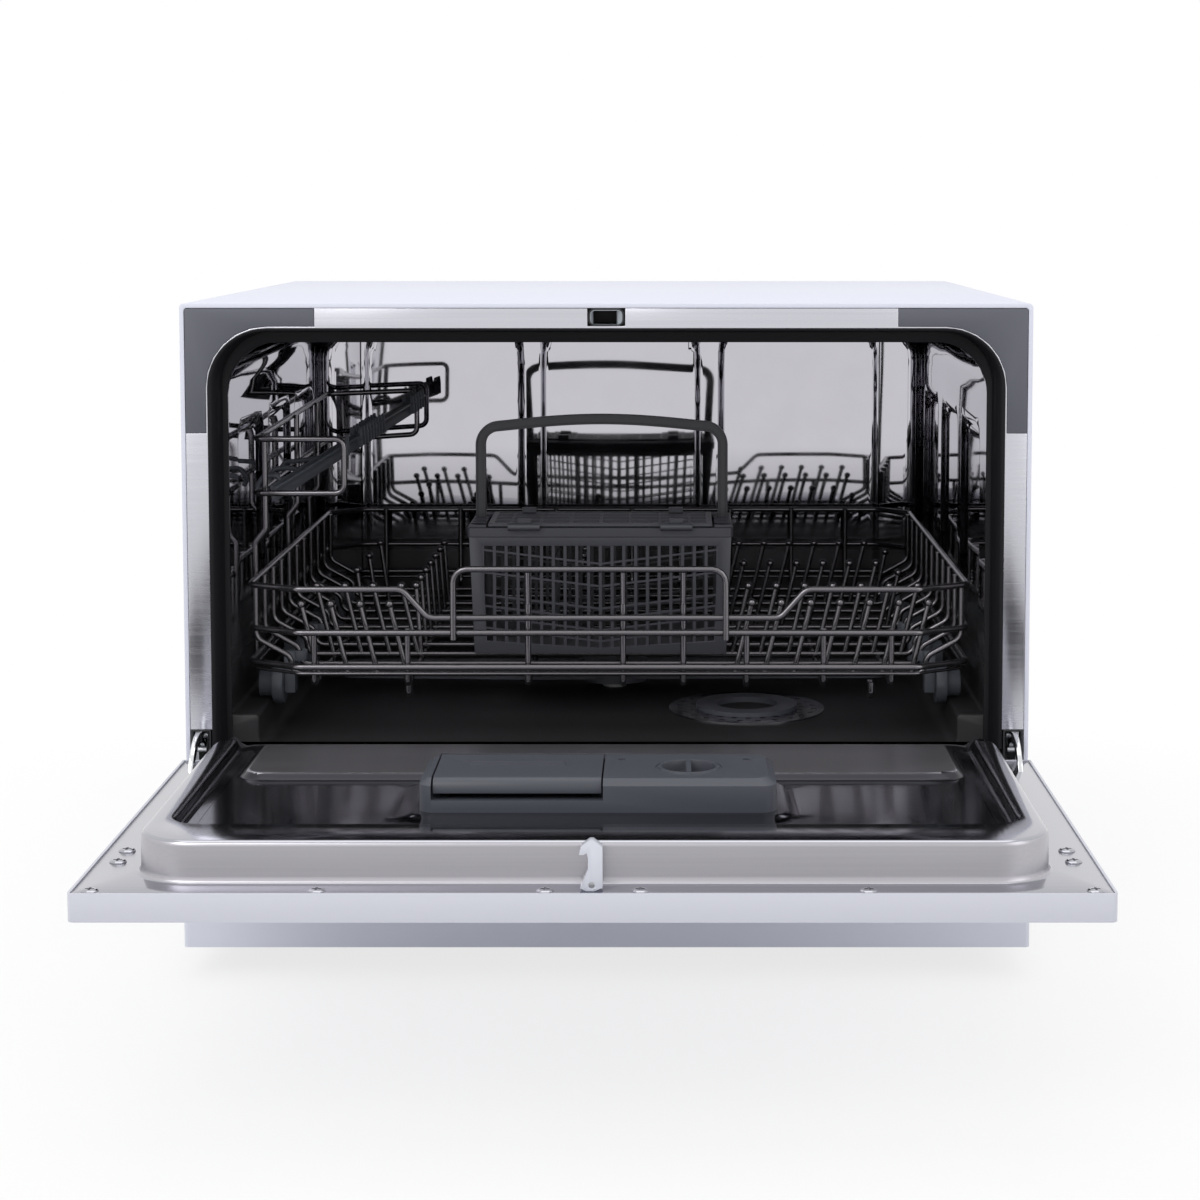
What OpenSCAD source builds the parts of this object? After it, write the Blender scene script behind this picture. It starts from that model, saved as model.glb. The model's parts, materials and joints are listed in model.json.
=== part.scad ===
/* [Cabinet] */
// Width of the cabinet
body_w = 550; // [520:2:600]
// Depth of the cabinet behind the door
body_d = 480; // [470:2:520]
// Height from the worktop to the top of the casing
body_h = 438; // [434:1:460]
// Height of the levelling feet under the base
foot_h = 20; // [14:1:30]
// Sheet thickness of the casing
casing_t = 1.5; // [1:0.1:2]
// Height of the top of the plinth
plinth_top = 113; // [100:1:113]
// How far the plinth and the shut door stand in front of the cabinet
door_proud = 17; // [16:0.5:18]

/* [Tub] */
// Gap between the cabinet's side and the inside of the tub
tub_side_gap = 25; // [22:0.5:27]
// Gap between the cabinet's top and the tub's ceiling
tub_head_gap = 26; // [24:0.5:30]
// Height of the tub's floor
tub_floor = 143; // [140:1:145]
// Height of the ledges that the wheels run on
ledge_z = 165; // [160:1:168]
// Width of each ledge
ledge_w = 19; // [18:0.5:22]
// Clearance between the tub's back wall and the rack
rack_back_gap = 7; // [4:1:10]
// Sheet thickness of the tub and the door liner
sheet_t = 1.2; // [0.8:0.1:1.5]
// Corner radius of the front opening
mouth_r = 38; // [30:1:44]

/* [Door] */
// Gap between the shut door's pan and the tub's side
pan_side_gap = 4; // [3:0.5:10]
// Height that the pan stands up from the flange
pan_rise = 23; // [21:0.5:24]
// Depth of the recess in the pan
recess_deep = 7; // [4:0.5:9]
// Thickness of the outer panel's sheet
panel_t = 1.5; // [1:0.1:2]
// How far the shut door's top edge stays below the casing's top
door_top_gap = 1; // [0.5:0.5:4.5]

/* [Rack] */
// Diameter of the rack's wires
wire_d = 4.4; // [3.6:0.2:4.6]
// Gap between the tub's side and the rack
rack_side_gap = 10; // [8:0.5:18]
// Height of the rack's bottom rail
rail_low = 196; // [194:1:200]
// Height of the rack's middle rail
rail_mid = 219; // [214:1:224]
// Height of the rack's top rail
rail_top = 248; // [242:1:254]
// Height of the floor wires that run from front to back
floor_z = 184; // [182:0.5:185]
// Travel of the rack
rack_travel = 218; // [150:1:218]
// Height of the front tines
tine_h = 41; // [30:1:48]
// Spacing of the tines
tine_pitch = 19; // [16:0.5:24]

/* [Cutlery basket] */
// Width of the cutlery basket
basket_w = 182; // [170:1:190]
// Depth of the cutlery basket
basket_d = 85; // [78:1:90]
// Height of the cutlery basket
basket_h = 88; // [80:1:90]
// Wall thickness of the cutlery basket
basket_t = 2; // [1.6:0.1:2.6]
// Height of the handle's arch above the basket
arch_h = 74; // [60:1:78]

/* [Dispenser] */
// Width of the detergent dispenser
disp_w = 202; // [190:1:210]
// Depth of the detergent dispenser
disp_d = 70; // [64:1:70]
// Height that the dispenser stands above the liner's recess
disp_h = 21; // [18:0.5:22]
// Diameter of the rinse aid cap
cap_d = 38; // [30:1:42]

/* [Fits] */
// Clearance round pins and shafts that turn
run_gap = 0.08; // [0.03:0.01:0.1]
// Clearance between parts that are set in place
set_gap = 0.3; // [0.2:0.05:0.5]

/* [Hidden] */
$fn = 32;

half_w = body_w / 2;

// The door's hinge line, and how far the open door reaches forward of the cabinet
hinge_y = 2.5 - door_proud;
hinge_z = 130;
door_reach = body_h - door_top_gap - hinge_z - hinge_y;
near_y = -door_reach;
mid_y = (body_d - door_reach) / 2;
wire_r = wire_d / 2;

// Front frame and mouth of the tub
return_w = 3;
frame_t = 1.7;
frame_face_t = 0.9;
mouth_half = half_w - 18;
mouth_top = body_h - 16.5;
mouth_deep = 24;
frame_low = hinge_z + 30;
trim_in = half_w - 87;
trim_low = body_h - 84;

// Tub
tub_half = half_w - tub_side_gap;
tub_top = body_h - tub_head_gap;
ledge_in = tub_half - ledge_w;
tub_back = body_d - 16;
tub_r = 36;

// Door: heights above the worktop with the door down
panel_low = hinge_z - 3;
flange_z = hinge_z + 12;
pan_top = flange_z + pan_rise;
recess_z = pan_top - recess_deep;
pan_half = tub_half - pan_side_gap;
pan_near = near_y + 20;
pan_far = hinge_y - 20;
pan_r = 32;
door_far = hinge_y + 2;

// Rack, pushed in
rack_half = tub_half - rack_side_gap;
rack_bend = rack_half - 27;
rack_front = 27;
rack_back = tub_back - rack_back_gap;
rack_cut = 35;
weld = wire_d + 0.06;
cross_z = floor_z + weld;
row_pitch = 36.5;
row_first = rack_front + 22;
row_count = floor((rack_back - 30 - row_first) / row_pitch) + 1;
wheel_r = 9.5;
flange_r = 14;
axle_z = ledge_z + wheel_r;
wheel_ys = [row_first + row_pitch, row_first + 4 * row_pitch, row_first + 8 * row_pitch];
axle_r = 2;

// Basket, in the rack
basket_x = -7;
basket_y = rack_front + 77;
basket_low = cross_z + wire_r + set_gap;
basket_top = basket_low + basket_h;

// Dispenser, on the recess of the liner
disp_near = near_y + 100.5;
disp_top = recess_z + disp_h;
lid_left = -disp_w / 2 + 8;
lid_right = 2;
lid_far = disp_near + 64;
lid_near = disp_near + 3;
lid_pivot_z = disp_top - 2.6;
cap_x = 51.5;
cap_y = disp_near + 32;

// Spray arm and sump
hub_x = 0;
hub_y = 236;
hub_r = 8.7;
arm_reach = 205;
arm_z = tub_floor + 8;
cup_x = 96;
cup_y = 150;
cup_r = 30;

// Positions on the cabinet
foot_xs = [-half_w + 50, half_w - 50];
foot_ys = [70, body_d - 60];
foot_stem_r = 5;
tray_half = half_w - casing_t - set_gap;
tray_back = body_d - 24;
valve_x = half_w - 75;
valve_z = 62;
thread_r = 13.2;
drain_x = 130;
drain_z = 54;
cord_x = -half_w + 65;
cord_z = 60;
frame_half = half_w - return_w - 0.2;
frame_top = body_h - return_w - 0.2;
panel_xs = [-tub_half + 103, 0.5, tub_half - 101];
panel_half = 64.5;
emboss = 3;
slot_x0 = half_w - 15;
slot_x1 = half_w - 5;
arm_x0 = half_w - 12.5;
arm_x1 = half_w - 9.5;
arm_r0 = 24;
arm_r1 = 31;
arm_start = 44;
pin_out_r = 2.5;
pin_in_r = 1.5;
pin_angle = 48;
spring_y0 = 90.3;
spring_y1 = 230;

// Positions on the door
screw_xs = [25, half_w - 130, half_w - 11];
screw_y = near_y + 5;
side_screw_ys = [near_y + 64, near_y + 87];
side_screw_x = half_w - 13;
step_y = disp_near + 88.5;
step_up = 4;
pocket_x0 = half_w - 18;
pocket_x1 = half_w - 6;
pocket_y = hinge_y - 48;
fascia = [-half_w + 75, near_y + 14, half_w - 75, near_y + 56];
grip = [-72, near_y + 66, 72, near_y + 96];
display = [-45, near_y + 26, 45, near_y + 44];
button_xs = [fascia[0] + 50, fascia[0] + 95, fascia[2] - 95, fascia[2] - 50];
button_y = near_y + 35;
button_r = 7;
board_z = panel_low + 8.5;
hook_y0 = near_y + 4.5;
hook_y1 = near_y + 11;
hook_mid_y = (hook_y0 + hook_y1) / 2;
hook_pin_x = -0.5;
hook_pin_z = flange_z + 3.6;
socket_z = hinge_z + (hinge_y - hook_mid_y);
socket_w = 18;
socket_h = 9.6;
lid_pin_r = 1.3;

// Positions on the rack
dip_z = rail_top - 19;
cup_low = rail_top + 58;
cup_high = rail_top + 95;
handle_top = rail_top + 14;
long_xs = [-rack_half + 45, -rack_half + 107, -53, 10, 50, 92, rack_half - 97, rack_half - 52];
handle_xs = [-53, 10, 50];
comb_y0 = rack_front + 51;
comb_y1 = rack_back - 30;
comb_a = [-rack_half + 12, comb_y0 + 20, cup_low - 8];
comb_b = [-rack_half + 64, comb_y1 - 30, cup_low + 12];
bx0 = basket_x - basket_w / 2;
bx1 = basket_x + basket_w / 2;
by0 = basket_y;
by1 = basket_y + basket_d;
lid_d = 66;
t_handle = basket_t + 3.4;

function arc(cx, cy, r, a0, a1, n = 6) =
    [for (i = [0 : n]) [cx + r * cos(a0 + (a1 - a0) * i / n), cy + r * sin(a0 + (a1 - a0) * i / n)]];
function round_box(x0, y0, x1, y1, r) = concat(
    arc(x1 - r, y0 + r, r, -90, 0), arc(x1 - r, y1 - r, r, 0, 90),
    arc(x0 + r, y1 - r, r, 90, 180), arc(x0 + r, y0 + r, r, 180, 270));
function arch_box(x0, y0, x1, y1, r) = concat(
    [[x0, y0], [x1, y0]], arc(x1 - r, y1 - r, r, 0, 90), arc(x0 + r, y1 - r, r, 90, 180));

// A flat outline in X and Z, pushed back from y0 to y1
module along_y(y0, y1) {
    translate([0, y1, 0]) rotate([90, 0, 0]) linear_extrude(y1 - y0) children();
}
// A flat outline in Y and Z, pushed right from x0 to x1
module along_x(x0, x1) {
    translate([x0, 0, 0]) rotate([90, 0, 90]) linear_extrude(x1 - x0) children();
}
module box(a, b) {
    translate(a) cube(b - a);
}
module slab(points, z0, z1) {
    translate([0, 0, z0]) linear_extrude(z1 - z0) polygon(points);
}
module rod(a, b, r) {
    v = b - a;
    translate(a) rotate([0, acos(v[2] / norm(v)), atan2(v[1], v[0])]) cylinder(h = norm(v), r = r);
}
module rod_x(x0, x1, y, z, r) {
    translate([x0, y, z]) rotate([0, 90, 0]) cylinder(h = x1 - x0, r = r);
}
module rod_y(x, y0, y1, z, r) {
    translate([x, y1, z]) rotate([90, 0, 0]) cylinder(h = y1 - y0, r = r);
}
module rod_z(x, y, z0, z1, r) {
    translate([x, y, z0]) cylinder(h = z1 - z0, r = r);
}
function unit(v) = v / norm(v);
function side(n, a, b) = cross(n, unit(b - a));
function mitre(s0, s1) = (s0 + s1) / (1 + s0 * s1);
// Bent wire in a plane with the normal n, as an eight-sided bar with mitred bends
module wire(n, p, closed = false, r = wire_r) {
    last = len(p) - 1;
    big = r / cos(22.5);
    s = [for (i = [0 : last]) mitre(
        i > 0 ? side(n, p[i - 1], p[i]) : closed ? side(n, p[last], p[0]) : side(n, p[0], p[1]),
        i < last ? side(n, p[i], p[i + 1]) : closed ? side(n, p[last], p[0]) : side(n, p[i - 1], p[i]))];
    m = last + 1;
    polyhedron(
        points = [for (i = [0 : last], k = [0 : 7])
            p[i] + n * big * cos(22.5 + 45 * k) + s[i] * big * sin(22.5 + 45 * k)],
        faces = concat(
            [for (i = [0 : closed ? last : last - 1], k = [0 : 7])
                [i * 8 + k, i * 8 + (k + 1) % 8, (i + 1) % m * 8 + (k + 1) % 8, (i + 1) % m * 8 + k]],
            closed ? [] : [[7, 6, 5, 4, 3, 2, 1, 0], [for (k = [0 : 7]) last * 8 + k]]));
}
module both_sides() {
    children();
    mirror([1, 0, 0]) children();
}

// ---- Cabinet ----
module outer_casing() {
    color("white") union() {
        difference() {
            along_y(0, body_d) polygon(arch_box(-half_w, foot_h + 2, half_w, body_h, 3));
            along_y(return_w / 2, body_d + 1)
                polygon(arch_box(-half_w + casing_t, foot_h + 1, half_w - casing_t, body_h - casing_t, 2));
            along_y(-1, return_w)
                polygon(arch_box(-half_w + return_w, foot_h + 1, half_w - return_w, body_h - return_w, 2));
        }
    }
}
module back_panel() {
    color("gainsboro") difference() {
        box([-half_w + casing_t + set_gap, body_d - 3, plinth_top + 2],
            [half_w - casing_t - set_gap, body_d - 1.8, body_h - casing_t - set_gap]);
        for (i = [-7 : 7]) translate([i * 16, body_d - 4, body_h - 60]) cube([6, 4, 30]);
        for (s = [-1, 1]) rod_y(s * (half_w - 20), body_d - 4, body_d, body_h - 20, 2);
        for (s = [-1, 1]) rod_y(s * (half_w - 20), body_d - 4, body_d, plinth_top + 15, 2);
    }
}
module base_tray() {
    color("dimgray") difference() {
        box([-tray_half, 2, foot_h], [tray_half, tray_back, plinth_top - 6]);
        box([-tray_half + 3, 5, foot_h + 3], [tray_half - 3, tray_back - 3, plinth_top]);
        rod_y(valve_x, tray_back - 4, tray_back + 1, valve_z, 11);
        rod_y(drain_x, tray_back - 4, tray_back + 1, drain_z, 9);
        rod_y(cord_x, tray_back - 4, tray_back + 1, cord_z, 8);
        for (x = foot_xs, y = foot_ys) rod_z(x, y, foot_h - 1, foot_h + 4, foot_stem_r + set_gap);
        for (i = [-6 : 6]) box([i * 24 - 5, 120, foot_h - 1], [i * 24 + 5, 180, foot_h + 4]);
    }
}
module plinth() {
    color("lightgray") difference() {
        slab(round_box(-half_w, -door_proud, half_w, 1.6, 3), foot_h, plinth_top);
        box([-half_w + 3, -door_proud + 3, foot_h - 1], [half_w - 3, 5, plinth_top - 3]);
        both_sides() box([half_w - 3.3, 0, foot_h - 1], [half_w + 1, 5, plinth_top + 1]);
    }
}
module levelling_feet() {
    color([0.12, 0.12, 0.13]) for (x = foot_xs, y = foot_ys) translate([x, y, 0]) {
        cylinder(h = 3, r1 = 17, r2 = 18);
        translate([0, 0, 3]) cylinder(h = foot_h - 3 - set_gap, r = 18);
        translate([0, 0, foot_h - 1]) cylinder(h = 14, r = foot_stem_r);
    }
}
module tub_outline(grow = 0) {
    polygon(concat(
        [[-ledge_in - grow, tub_floor - grow], [ledge_in + grow, tub_floor - grow]],
        [[ledge_in + grow, ledge_z - grow], [tub_half + grow, ledge_z - grow]],
        arc(tub_half - tub_r, tub_top - tub_r, tub_r + grow, 0, 90),
        arc(-tub_half + tub_r, tub_top - tub_r, tub_r + grow, 90, 180),
        [[-tub_half - grow, ledge_z - grow], [-ledge_in - grow, ledge_z - grow]]));
}
module mouth_outline(grow = 0) {
    polygon(arch_box(-mouth_half - grow, tub_floor - grow, mouth_half + grow, mouth_top + grow,
        mouth_r + grow));
}
module wall_panels(grow = 0) {
    for (x = panel_xs) along_y(tub_back - 1 + grow / 2, tub_back + emboss + grow)
        polygon(round_box(x - panel_half - grow, ledge_z + 11 - grow, x + panel_half + grow,
            tub_top - 14 + grow, 16));
}
module side_panels(grow = 0) {
    for (s = [-1, 1], y = [120, 245, 370]) along_x(s > 0 ? tub_half - 1 : -tub_half - emboss - grow,
            s > 0 ? tub_half + emboss + grow : -tub_half + 1)
        polygon(round_box(y - 50 - grow, ledge_z + 25 - grow, y + 50 + grow, tub_top - 62 + grow, 14));
}
module tub() {
    color([0.3, 0.31, 0.33]) difference() {
        union() {
            along_y(mouth_deep - sheet_t, tub_back + sheet_t) tub_outline(sheet_t);
            along_y(frame_t, mouth_deep + sheet_t) mouth_outline(sheet_t);
            wall_panels(sheet_t);
            side_panels(sheet_t);
        }
        along_y(mouth_deep - 1, tub_back) tub_outline();
        along_y(frame_t - 1, mouth_deep) mouth_outline();
        wall_panels();
        side_panels();
        rod_z(cup_x, cup_y, tub_floor - 5, tub_floor + 5, cup_r + 26);
        rod_z(hub_x, hub_y, tub_floor - 5, tub_floor + 5, 13);
    }
}
module corner_zone(s) {
    intersection() {
        polygon([[s * trim_in, trim_low], [s * half_w, trim_low], [s * half_w, body_h], [s * trim_in, body_h]]);
        difference() {
            square([2 * half_w, 2 * body_h], center = true);
            polygon(arch_box(-mouth_half - 1.5, 0, mouth_half + 1.5, mouth_top + 1.5, mouth_r + 1.5));
        }
    }
}
module frame_outline() {
    difference() {
        polygon(arch_box(-frame_half, frame_low, frame_half, frame_top, 2));
        polygon(arch_box(-mouth_half, frame_low - 1, mouth_half, mouth_top, mouth_r));
    }
}
module front_frame() {
    color("silver") difference() {
        union() {
            along_y(frame_face_t, frame_t) frame_outline();
            along_y(0, frame_face_t + 0.1) difference() {
                frame_outline();
                corner_zone(1);
                corner_zone(-1);
            }
        }
        translate([-socket_w / 2 - 3.2, -1, socket_z - socket_h / 2 - 1])
            cube([socket_w + 6.4, frame_t + 2, socket_h + 2]);
    }
}
module corner_trim(s) {
    color([0.4, 0.42, 0.46]) along_y(0, frame_face_t - 0.02) intersection() {
        polygon(concat(
            s > 0 ? [[trim_in + 0.2, mouth_top - 60]] : [[-frame_half + 0.1, trim_low + 0.2]],
            s > 0 ? [[trim_in + 0.2, trim_low + 0.2], [frame_half - 0.1, trim_low + 0.2], [frame_half - 0.1, frame_top - 0.1],
                [trim_in + 0.2, frame_top - 0.1]]
                : [[-trim_in - 0.2, trim_low + 0.2], [-trim_in - 0.2, frame_top - 0.1], [-frame_half + 0.1, frame_top - 0.1]]));
        difference() {
            square([2 * half_w, 2 * body_h], center = true);
            polygon(arch_box(-mouth_half - 1.7, 0, mouth_half + 1.7, mouth_top + 1.7, mouth_r + 1.7));
        }
    }
}
module corner_trim_left() { corner_trim(-1); }
module corner_trim_right() { corner_trim(1); }
module latch_housing() {
    x0 = -socket_w / 2;
    color([0.15, 0.15, 0.16]) difference() {
        union() {
            box([x0 - 3, -0.1, socket_z - socket_h / 2 - 0.8], [-x0 + 3, 6, socket_z + socket_h / 2 + 0.8]);
            box([x0 - 10, frame_t + 0.1, mouth_top + sheet_t + 0.2], [-x0 + 10, 46, body_h - casing_t - 0.3]);
        }
        box([x0, -1, socket_z - socket_h / 2], [-x0, 8, socket_z + socket_h / 2]);
        box([x0 - 6, 3.6, socket_z - socket_h / 2], [-x0 + 6, 34, socket_z + socket_h / 2]);
        box([x0 - 6, 36, socket_z - 3], [-x0 + 6, 44, socket_z + 3]);
    }
}
module gasket_ring(low, side, top, r) {
    difference() {
        polygon(arch_box(-mouth_half, tub_floor, mouth_half, mouth_top, mouth_r));
        polygon(arch_box(-mouth_half + side, tub_floor + low, mouth_half - side, mouth_top - top, r));
    }
}
module door_gasket() {
    lip = mouth_half - pan_half - 1.2;
    color([0.06, 0.06, 0.07]) union() {
        along_y(frame_t + 4, frame_t + 18) gasket_ring(4, 5, 2.2, mouth_r - 3);
        along_y(frame_t + 13, frame_t + 16) gasket_ring(5, lip, 2.2, mouth_r - 4);
    }
}
module hinge_cover_right() {
    color([0.18, 0.18, 0.2]) difference() {
        box([mouth_half + sheet_t + set_gap, 0, plinth_top + 0.3], [frame_half, 12, frame_low - 0.3]);
        box([slot_x0, -1, plinth_top - 1], [slot_x1, 13, frame_low - 1.5]);
    }
}
module hinge_cover_left() { mirror([1, 0, 0]) hinge_cover_right(); }
module hinge_bracket_right() {
    pin_out = arm_r1 + pin_out_r + run_gap;
    pin_in = arm_r0 - pin_in_r - run_gap;
    color("silver") union() {
        box([slot_x1 - 3, 12.5, plinth_top + 3], [slot_x1 - 1, 90, frame_low - 2]);
        box([slot_x1 - 3, 2.2, hinge_z + 8], [slot_x1 - 1, 13, frame_low - 2]);
        rod_x(arm_x0 - 1, slot_x1 - 2, hinge_y + pin_out * cos(pin_angle), hinge_z + pin_out * sin(pin_angle), pin_out_r);
        rod_x(arm_x0 - 1, slot_x1 - 2, hinge_y + pin_in * cos(pin_angle), hinge_z + pin_in * sin(pin_angle), pin_in_r);
        box([tub_half + sheet_t + 4.3, 84, plinth_top + 3], [slot_x1 - 2, 90, plinth_top + 9]);
    }
}
module hinge_bracket_left() { mirror([1, 0, 0]) hinge_bracket_right(); }
module door_spring_right() {
    turns = 28;
    r = 5;
    pitch = (spring_y1 - spring_y0 - 8) / turns;
    color("silver") translate([arm_x0 - 0.5, spring_y0 + 4, plinth_top + 6]) rotate([-90, 0, 0]) union() {
        rotate_extrude() polygon(concat([[0, 0]],
            [for (i = [0 : turns - 1], k = [0, 1]) [r + k * 1.2, (i + k * 0.5) * pitch]],
            [[r, turns * pitch], [0, turns * pitch]]));
        translate([0, 0, -4]) cylinder(h = 5, r = 2);
        translate([0, 0, turns * pitch - 1]) cylinder(h = 5, r = 2);
    }
}
module door_spring_left() { mirror([1, 0, 0]) door_spring_right(); }
module insulation_mat() {
    color([0.1, 0.1, 0.1]) difference() {
        along_y(60, tub_back - 20) difference() {
            polygon(arch_box(-half_w + casing_t + 2, ledge_z + 75, half_w - casing_t - 2,
                body_h - casing_t - set_gap, 18));
            polygon(arch_box(-tub_half - 11, ledge_z + 74, tub_half + 11, tub_top + sheet_t + 6, tub_r + 4));
        }
    }
}

// ---- Water system ----
module sump() {
    z1 = tub_floor - sheet_t;
    color([0.75, 0.75, 0.76]) difference() {
        union() {
            rod_z(cup_x, cup_y, z1 - 22, z1, cup_r + 32);
            rod_z(cup_x, cup_y, 60, z1 - 20, cup_r + 8);
            box([hub_x - 14, hub_y - 14, z1 - 22], [cup_x, hub_y + 14, z1 - 8]);
            box([cup_x - 20, cup_y, z1 - 22], [cup_x + 20, hub_y + 14, z1 - 8]);
            rod_z(hub_x, hub_y, z1 - 22, z1, 20);
            rod_z(hub_x, hub_y, z1 - 1, arm_z + 3, hub_r);
        }
        rod_z(cup_x, cup_y, z1 - 6, z1 + 1, cup_r + 26);
        rod_z(cup_x, cup_y, 64, z1, cup_r + 4);
        rod_z(hub_x, hub_y, z1 - 14, arm_z + 4, 6);
    }
}
module filter_plate() {
    z1 = tub_floor;
    color("silver") difference() {
        rod_z(cup_x, cup_y, z1 - 7, z1 + 1, cup_r + 25.5);
        rod_z(cup_x, cup_y, z1 - 8, z1 + 2, cup_r + set_gap);
        for (a = [0 : 15 : 345], k = [0, 1]) rod_z(cup_x + (cup_r + 9 + k * 9) * cos(a + k * 7.5),
            cup_y + (cup_r + 9 + k * 9) * sin(a + k * 7.5), z1 - 8, z1 + 2, 2.2);
    }
}
module filter_cup() {
    z1 = tub_floor;
    color([0.55, 0.57, 0.6]) difference() {
        union() {
            rod_z(cup_x, cup_y, 68, z1, cup_r - 0.2);
            rod_z(cup_x, cup_y, z1 + 1 + run_gap, z1 + 4, cup_r + 6);
            rod_z(cup_x, cup_y, z1 - 1, z1 + 2, cup_r - 0.2);
        }
        rod_z(cup_x, cup_y, 70, z1 - 3, cup_r - 3);
        rod_z(cup_x, cup_y, z1 - 4, z1 + 5, cup_r - 8);
        for (a = [0 : 30 : 330]) translate([cup_x, cup_y, 76]) rotate([0, 0, a])
            translate([cup_r - 6, -4, 0]) cube([9, 8, 50]);
    }
}
module spray_arm() {
    z0 = arm_z;
    color([0.5, 0.52, 0.55]) difference() {
        union() {
            for (s = [0, 180]) translate([hub_x, hub_y, z0]) rotate([0, 0, s]) linear_extrude(9)
                polygon(concat([[0, -20], [60, -17]], arc(arm_reach - 14, 0, 14, -90, 90), [[60, 21], [0, 20]]));
            rod_z(hub_x, hub_y, z0 - 3, z0 + 13, 24);
        }
        rod_z(hub_x, hub_y, z0 - 4, z0 + 6, hub_r + run_gap);
        for (s = [0, 180], d = [48 : 24 : 180]) translate([hub_x, hub_y, z0]) rotate([0, 0, s])
            translate([d, 5, 3]) cube([9, 2.4, 8], center = false);
    }
}
module circulation_pump() {
    color([0.25, 0.25, 0.27]) union() {
        rod_y(-60, 190, 290, 66, 36);
        rod_y(-60, 170, 191, 66, 42);
        rod_y(-60, 289, 296, 66, 24);
        rod_x(-20, 60.2, 178, 66, 12);
        box([-78, 200, foot_h + 3.3], [-42, 280, 40]);
    }
}
module drain_pump() {
    color([0.3, 0.3, 0.32]) union() {
        rod_y(170, 200, 262, 56, 22);
        rod_y(170, 186, 201, 56, 27);
        rod_x(134.6, 175, 150, 78, 9);
        rod_y(170, 146, 190, 66, 9);
        box([158, 205, foot_h + 3.3], [182, 255, 40]);
    }
}
module water_heater() {
    color("silver") union() {
        rod_y(-160, 150, 330, 70, 22);
        rod_y(-160, 140, 152, 70, 26);
        rod_x(-160, -102.4, 178, 66, 10);
        box([-172, 180, foot_h + 3.3], [-148, 310, 52]);
    }
}
module inlet_valve() {
    color([0.85, 0.85, 0.85]) difference() {
        union() {
            rod_y(valve_x, tray_back + set_gap, tray_back + 3, valve_z, 19);
            rod_y(valve_x, tray_back + 2, tray_back + 20, valve_z, thread_r);
            rod_y(valve_x, tray_back - 40, tray_back + 1, valve_z, 10.5);
            box([valve_x - 14, tray_back - 62, valve_z - 18], [valve_x + 14, tray_back - 34, valve_z + 26]);
        }
        rod_y(valve_x, tray_back - 10, tray_back + 21, valve_z, 8);
    }
}
module drain_spigot() {
    color([0.3, 0.3, 0.32]) difference() {
        union() {
            rod_y(drain_x, tray_back + set_gap, tray_back + 3, drain_z, 14);
            rod_y(drain_x, tray_back - 20, tray_back + 21, drain_z, 8.5);
            translate([drain_x, tray_back + 15, drain_z]) rotate([90, 0, 0]) cylinder(h = 4, r1 = 9.4, r2 = 8.6);
        }
        rod_y(drain_x, tray_back - 21, tray_back + 22, drain_z, 6);
    }
}
module cord_inlet() {
    color([0.1, 0.1, 0.1]) difference() {
        union() {
            rod_y(cord_x, tray_back + set_gap, tray_back + 5, cord_z, 11);
            rod_y(cord_x, tray_back - 12, tray_back + 1, cord_z, 7.6);
            rod_y(cord_x, tray_back - 15, tray_back - 11, cord_z, 10);
        }
        rod_y(cord_x, tray_back - 16, tray_back + 6, cord_z, 3.8);
    }
}
module air_break() {
    x0 = tub_half + sheet_t + emboss + set_gap;
    color([0.9, 0.9, 0.88]) difference() {
        along_x(-x0 - 12, -x0) polygon(round_box(150, 130, 400, 235, 12));
        for (i = [0 : 4]) along_x(-x0 - 13, -x0 - 8)
            polygon(round_box(165 + i * 46, 145, 195 + i * 46, 220, 6));
    }
}

// ---- Door, drawn lying open ----
module at_screws() {
    for (x = screw_xs, s = [-1, 1]) translate([s * x, screw_y, 0]) children();
    for (y = side_screw_ys, s = [-1, 1]) translate([s * side_screw_x, y, 0]) children();
}
module rect(r, grow, z0, z1) {
    box([r[0] - grow, r[1] - grow, z0], [r[2] + grow, r[3] + grow, z1]);
}
module door_outer_panel() {
    far = hinge_y + 13;
    color("white") difference() {
        union() {
            difference() {
                intersection() {
                    slab(round_box(-half_w, near_y, half_w, far, 4), panel_low, flange_z + 0.4);
                    along_x(-half_w - 1, half_w + 1) polygon([[near_y - 1, panel_low - 1],
                        [far + 1, panel_low - 1], [far + 1, hinge_z + 3], [hinge_y + 3, hinge_z + 13],
                        [hinge_y + 3, flange_z + 1], [near_y - 1, flange_z + 1]]);
                }
                box([-half_w + panel_t, near_y + panel_t, panel_low + panel_t],
                    [half_w - panel_t, hinge_y + 2.5, flange_z + 1]);
                along_x(-half_w + panel_t, half_w - panel_t) polygon([[hinge_y, panel_low + panel_t],
                    [far - panel_t, panel_low + panel_t], [far - panel_t, hinge_z + 2],
                    [hinge_y + 2.5, hinge_z + 10.5], [hinge_y, hinge_z + 10.5]]);
            }
            at_screws() rod_z(0, 0, panel_low + panel_t - 0.1, flange_z - sheet_t, 4);
        }
        at_screws() rod_z(0, 0, panel_low + 4, flange_z + 1, 1.6);
        rect(fascia, 0, panel_low - 1, panel_low + 3);
        rect(grip, 0, panel_low - 1, panel_low + 3);
    }
}
module recess_outline(grow) {
    polygon(round_box(-ledge_in - 1 - grow, pan_near + 40 - grow, ledge_in + 1 + grow,
        pan_far + 40, 18 + grow));
}
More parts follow.
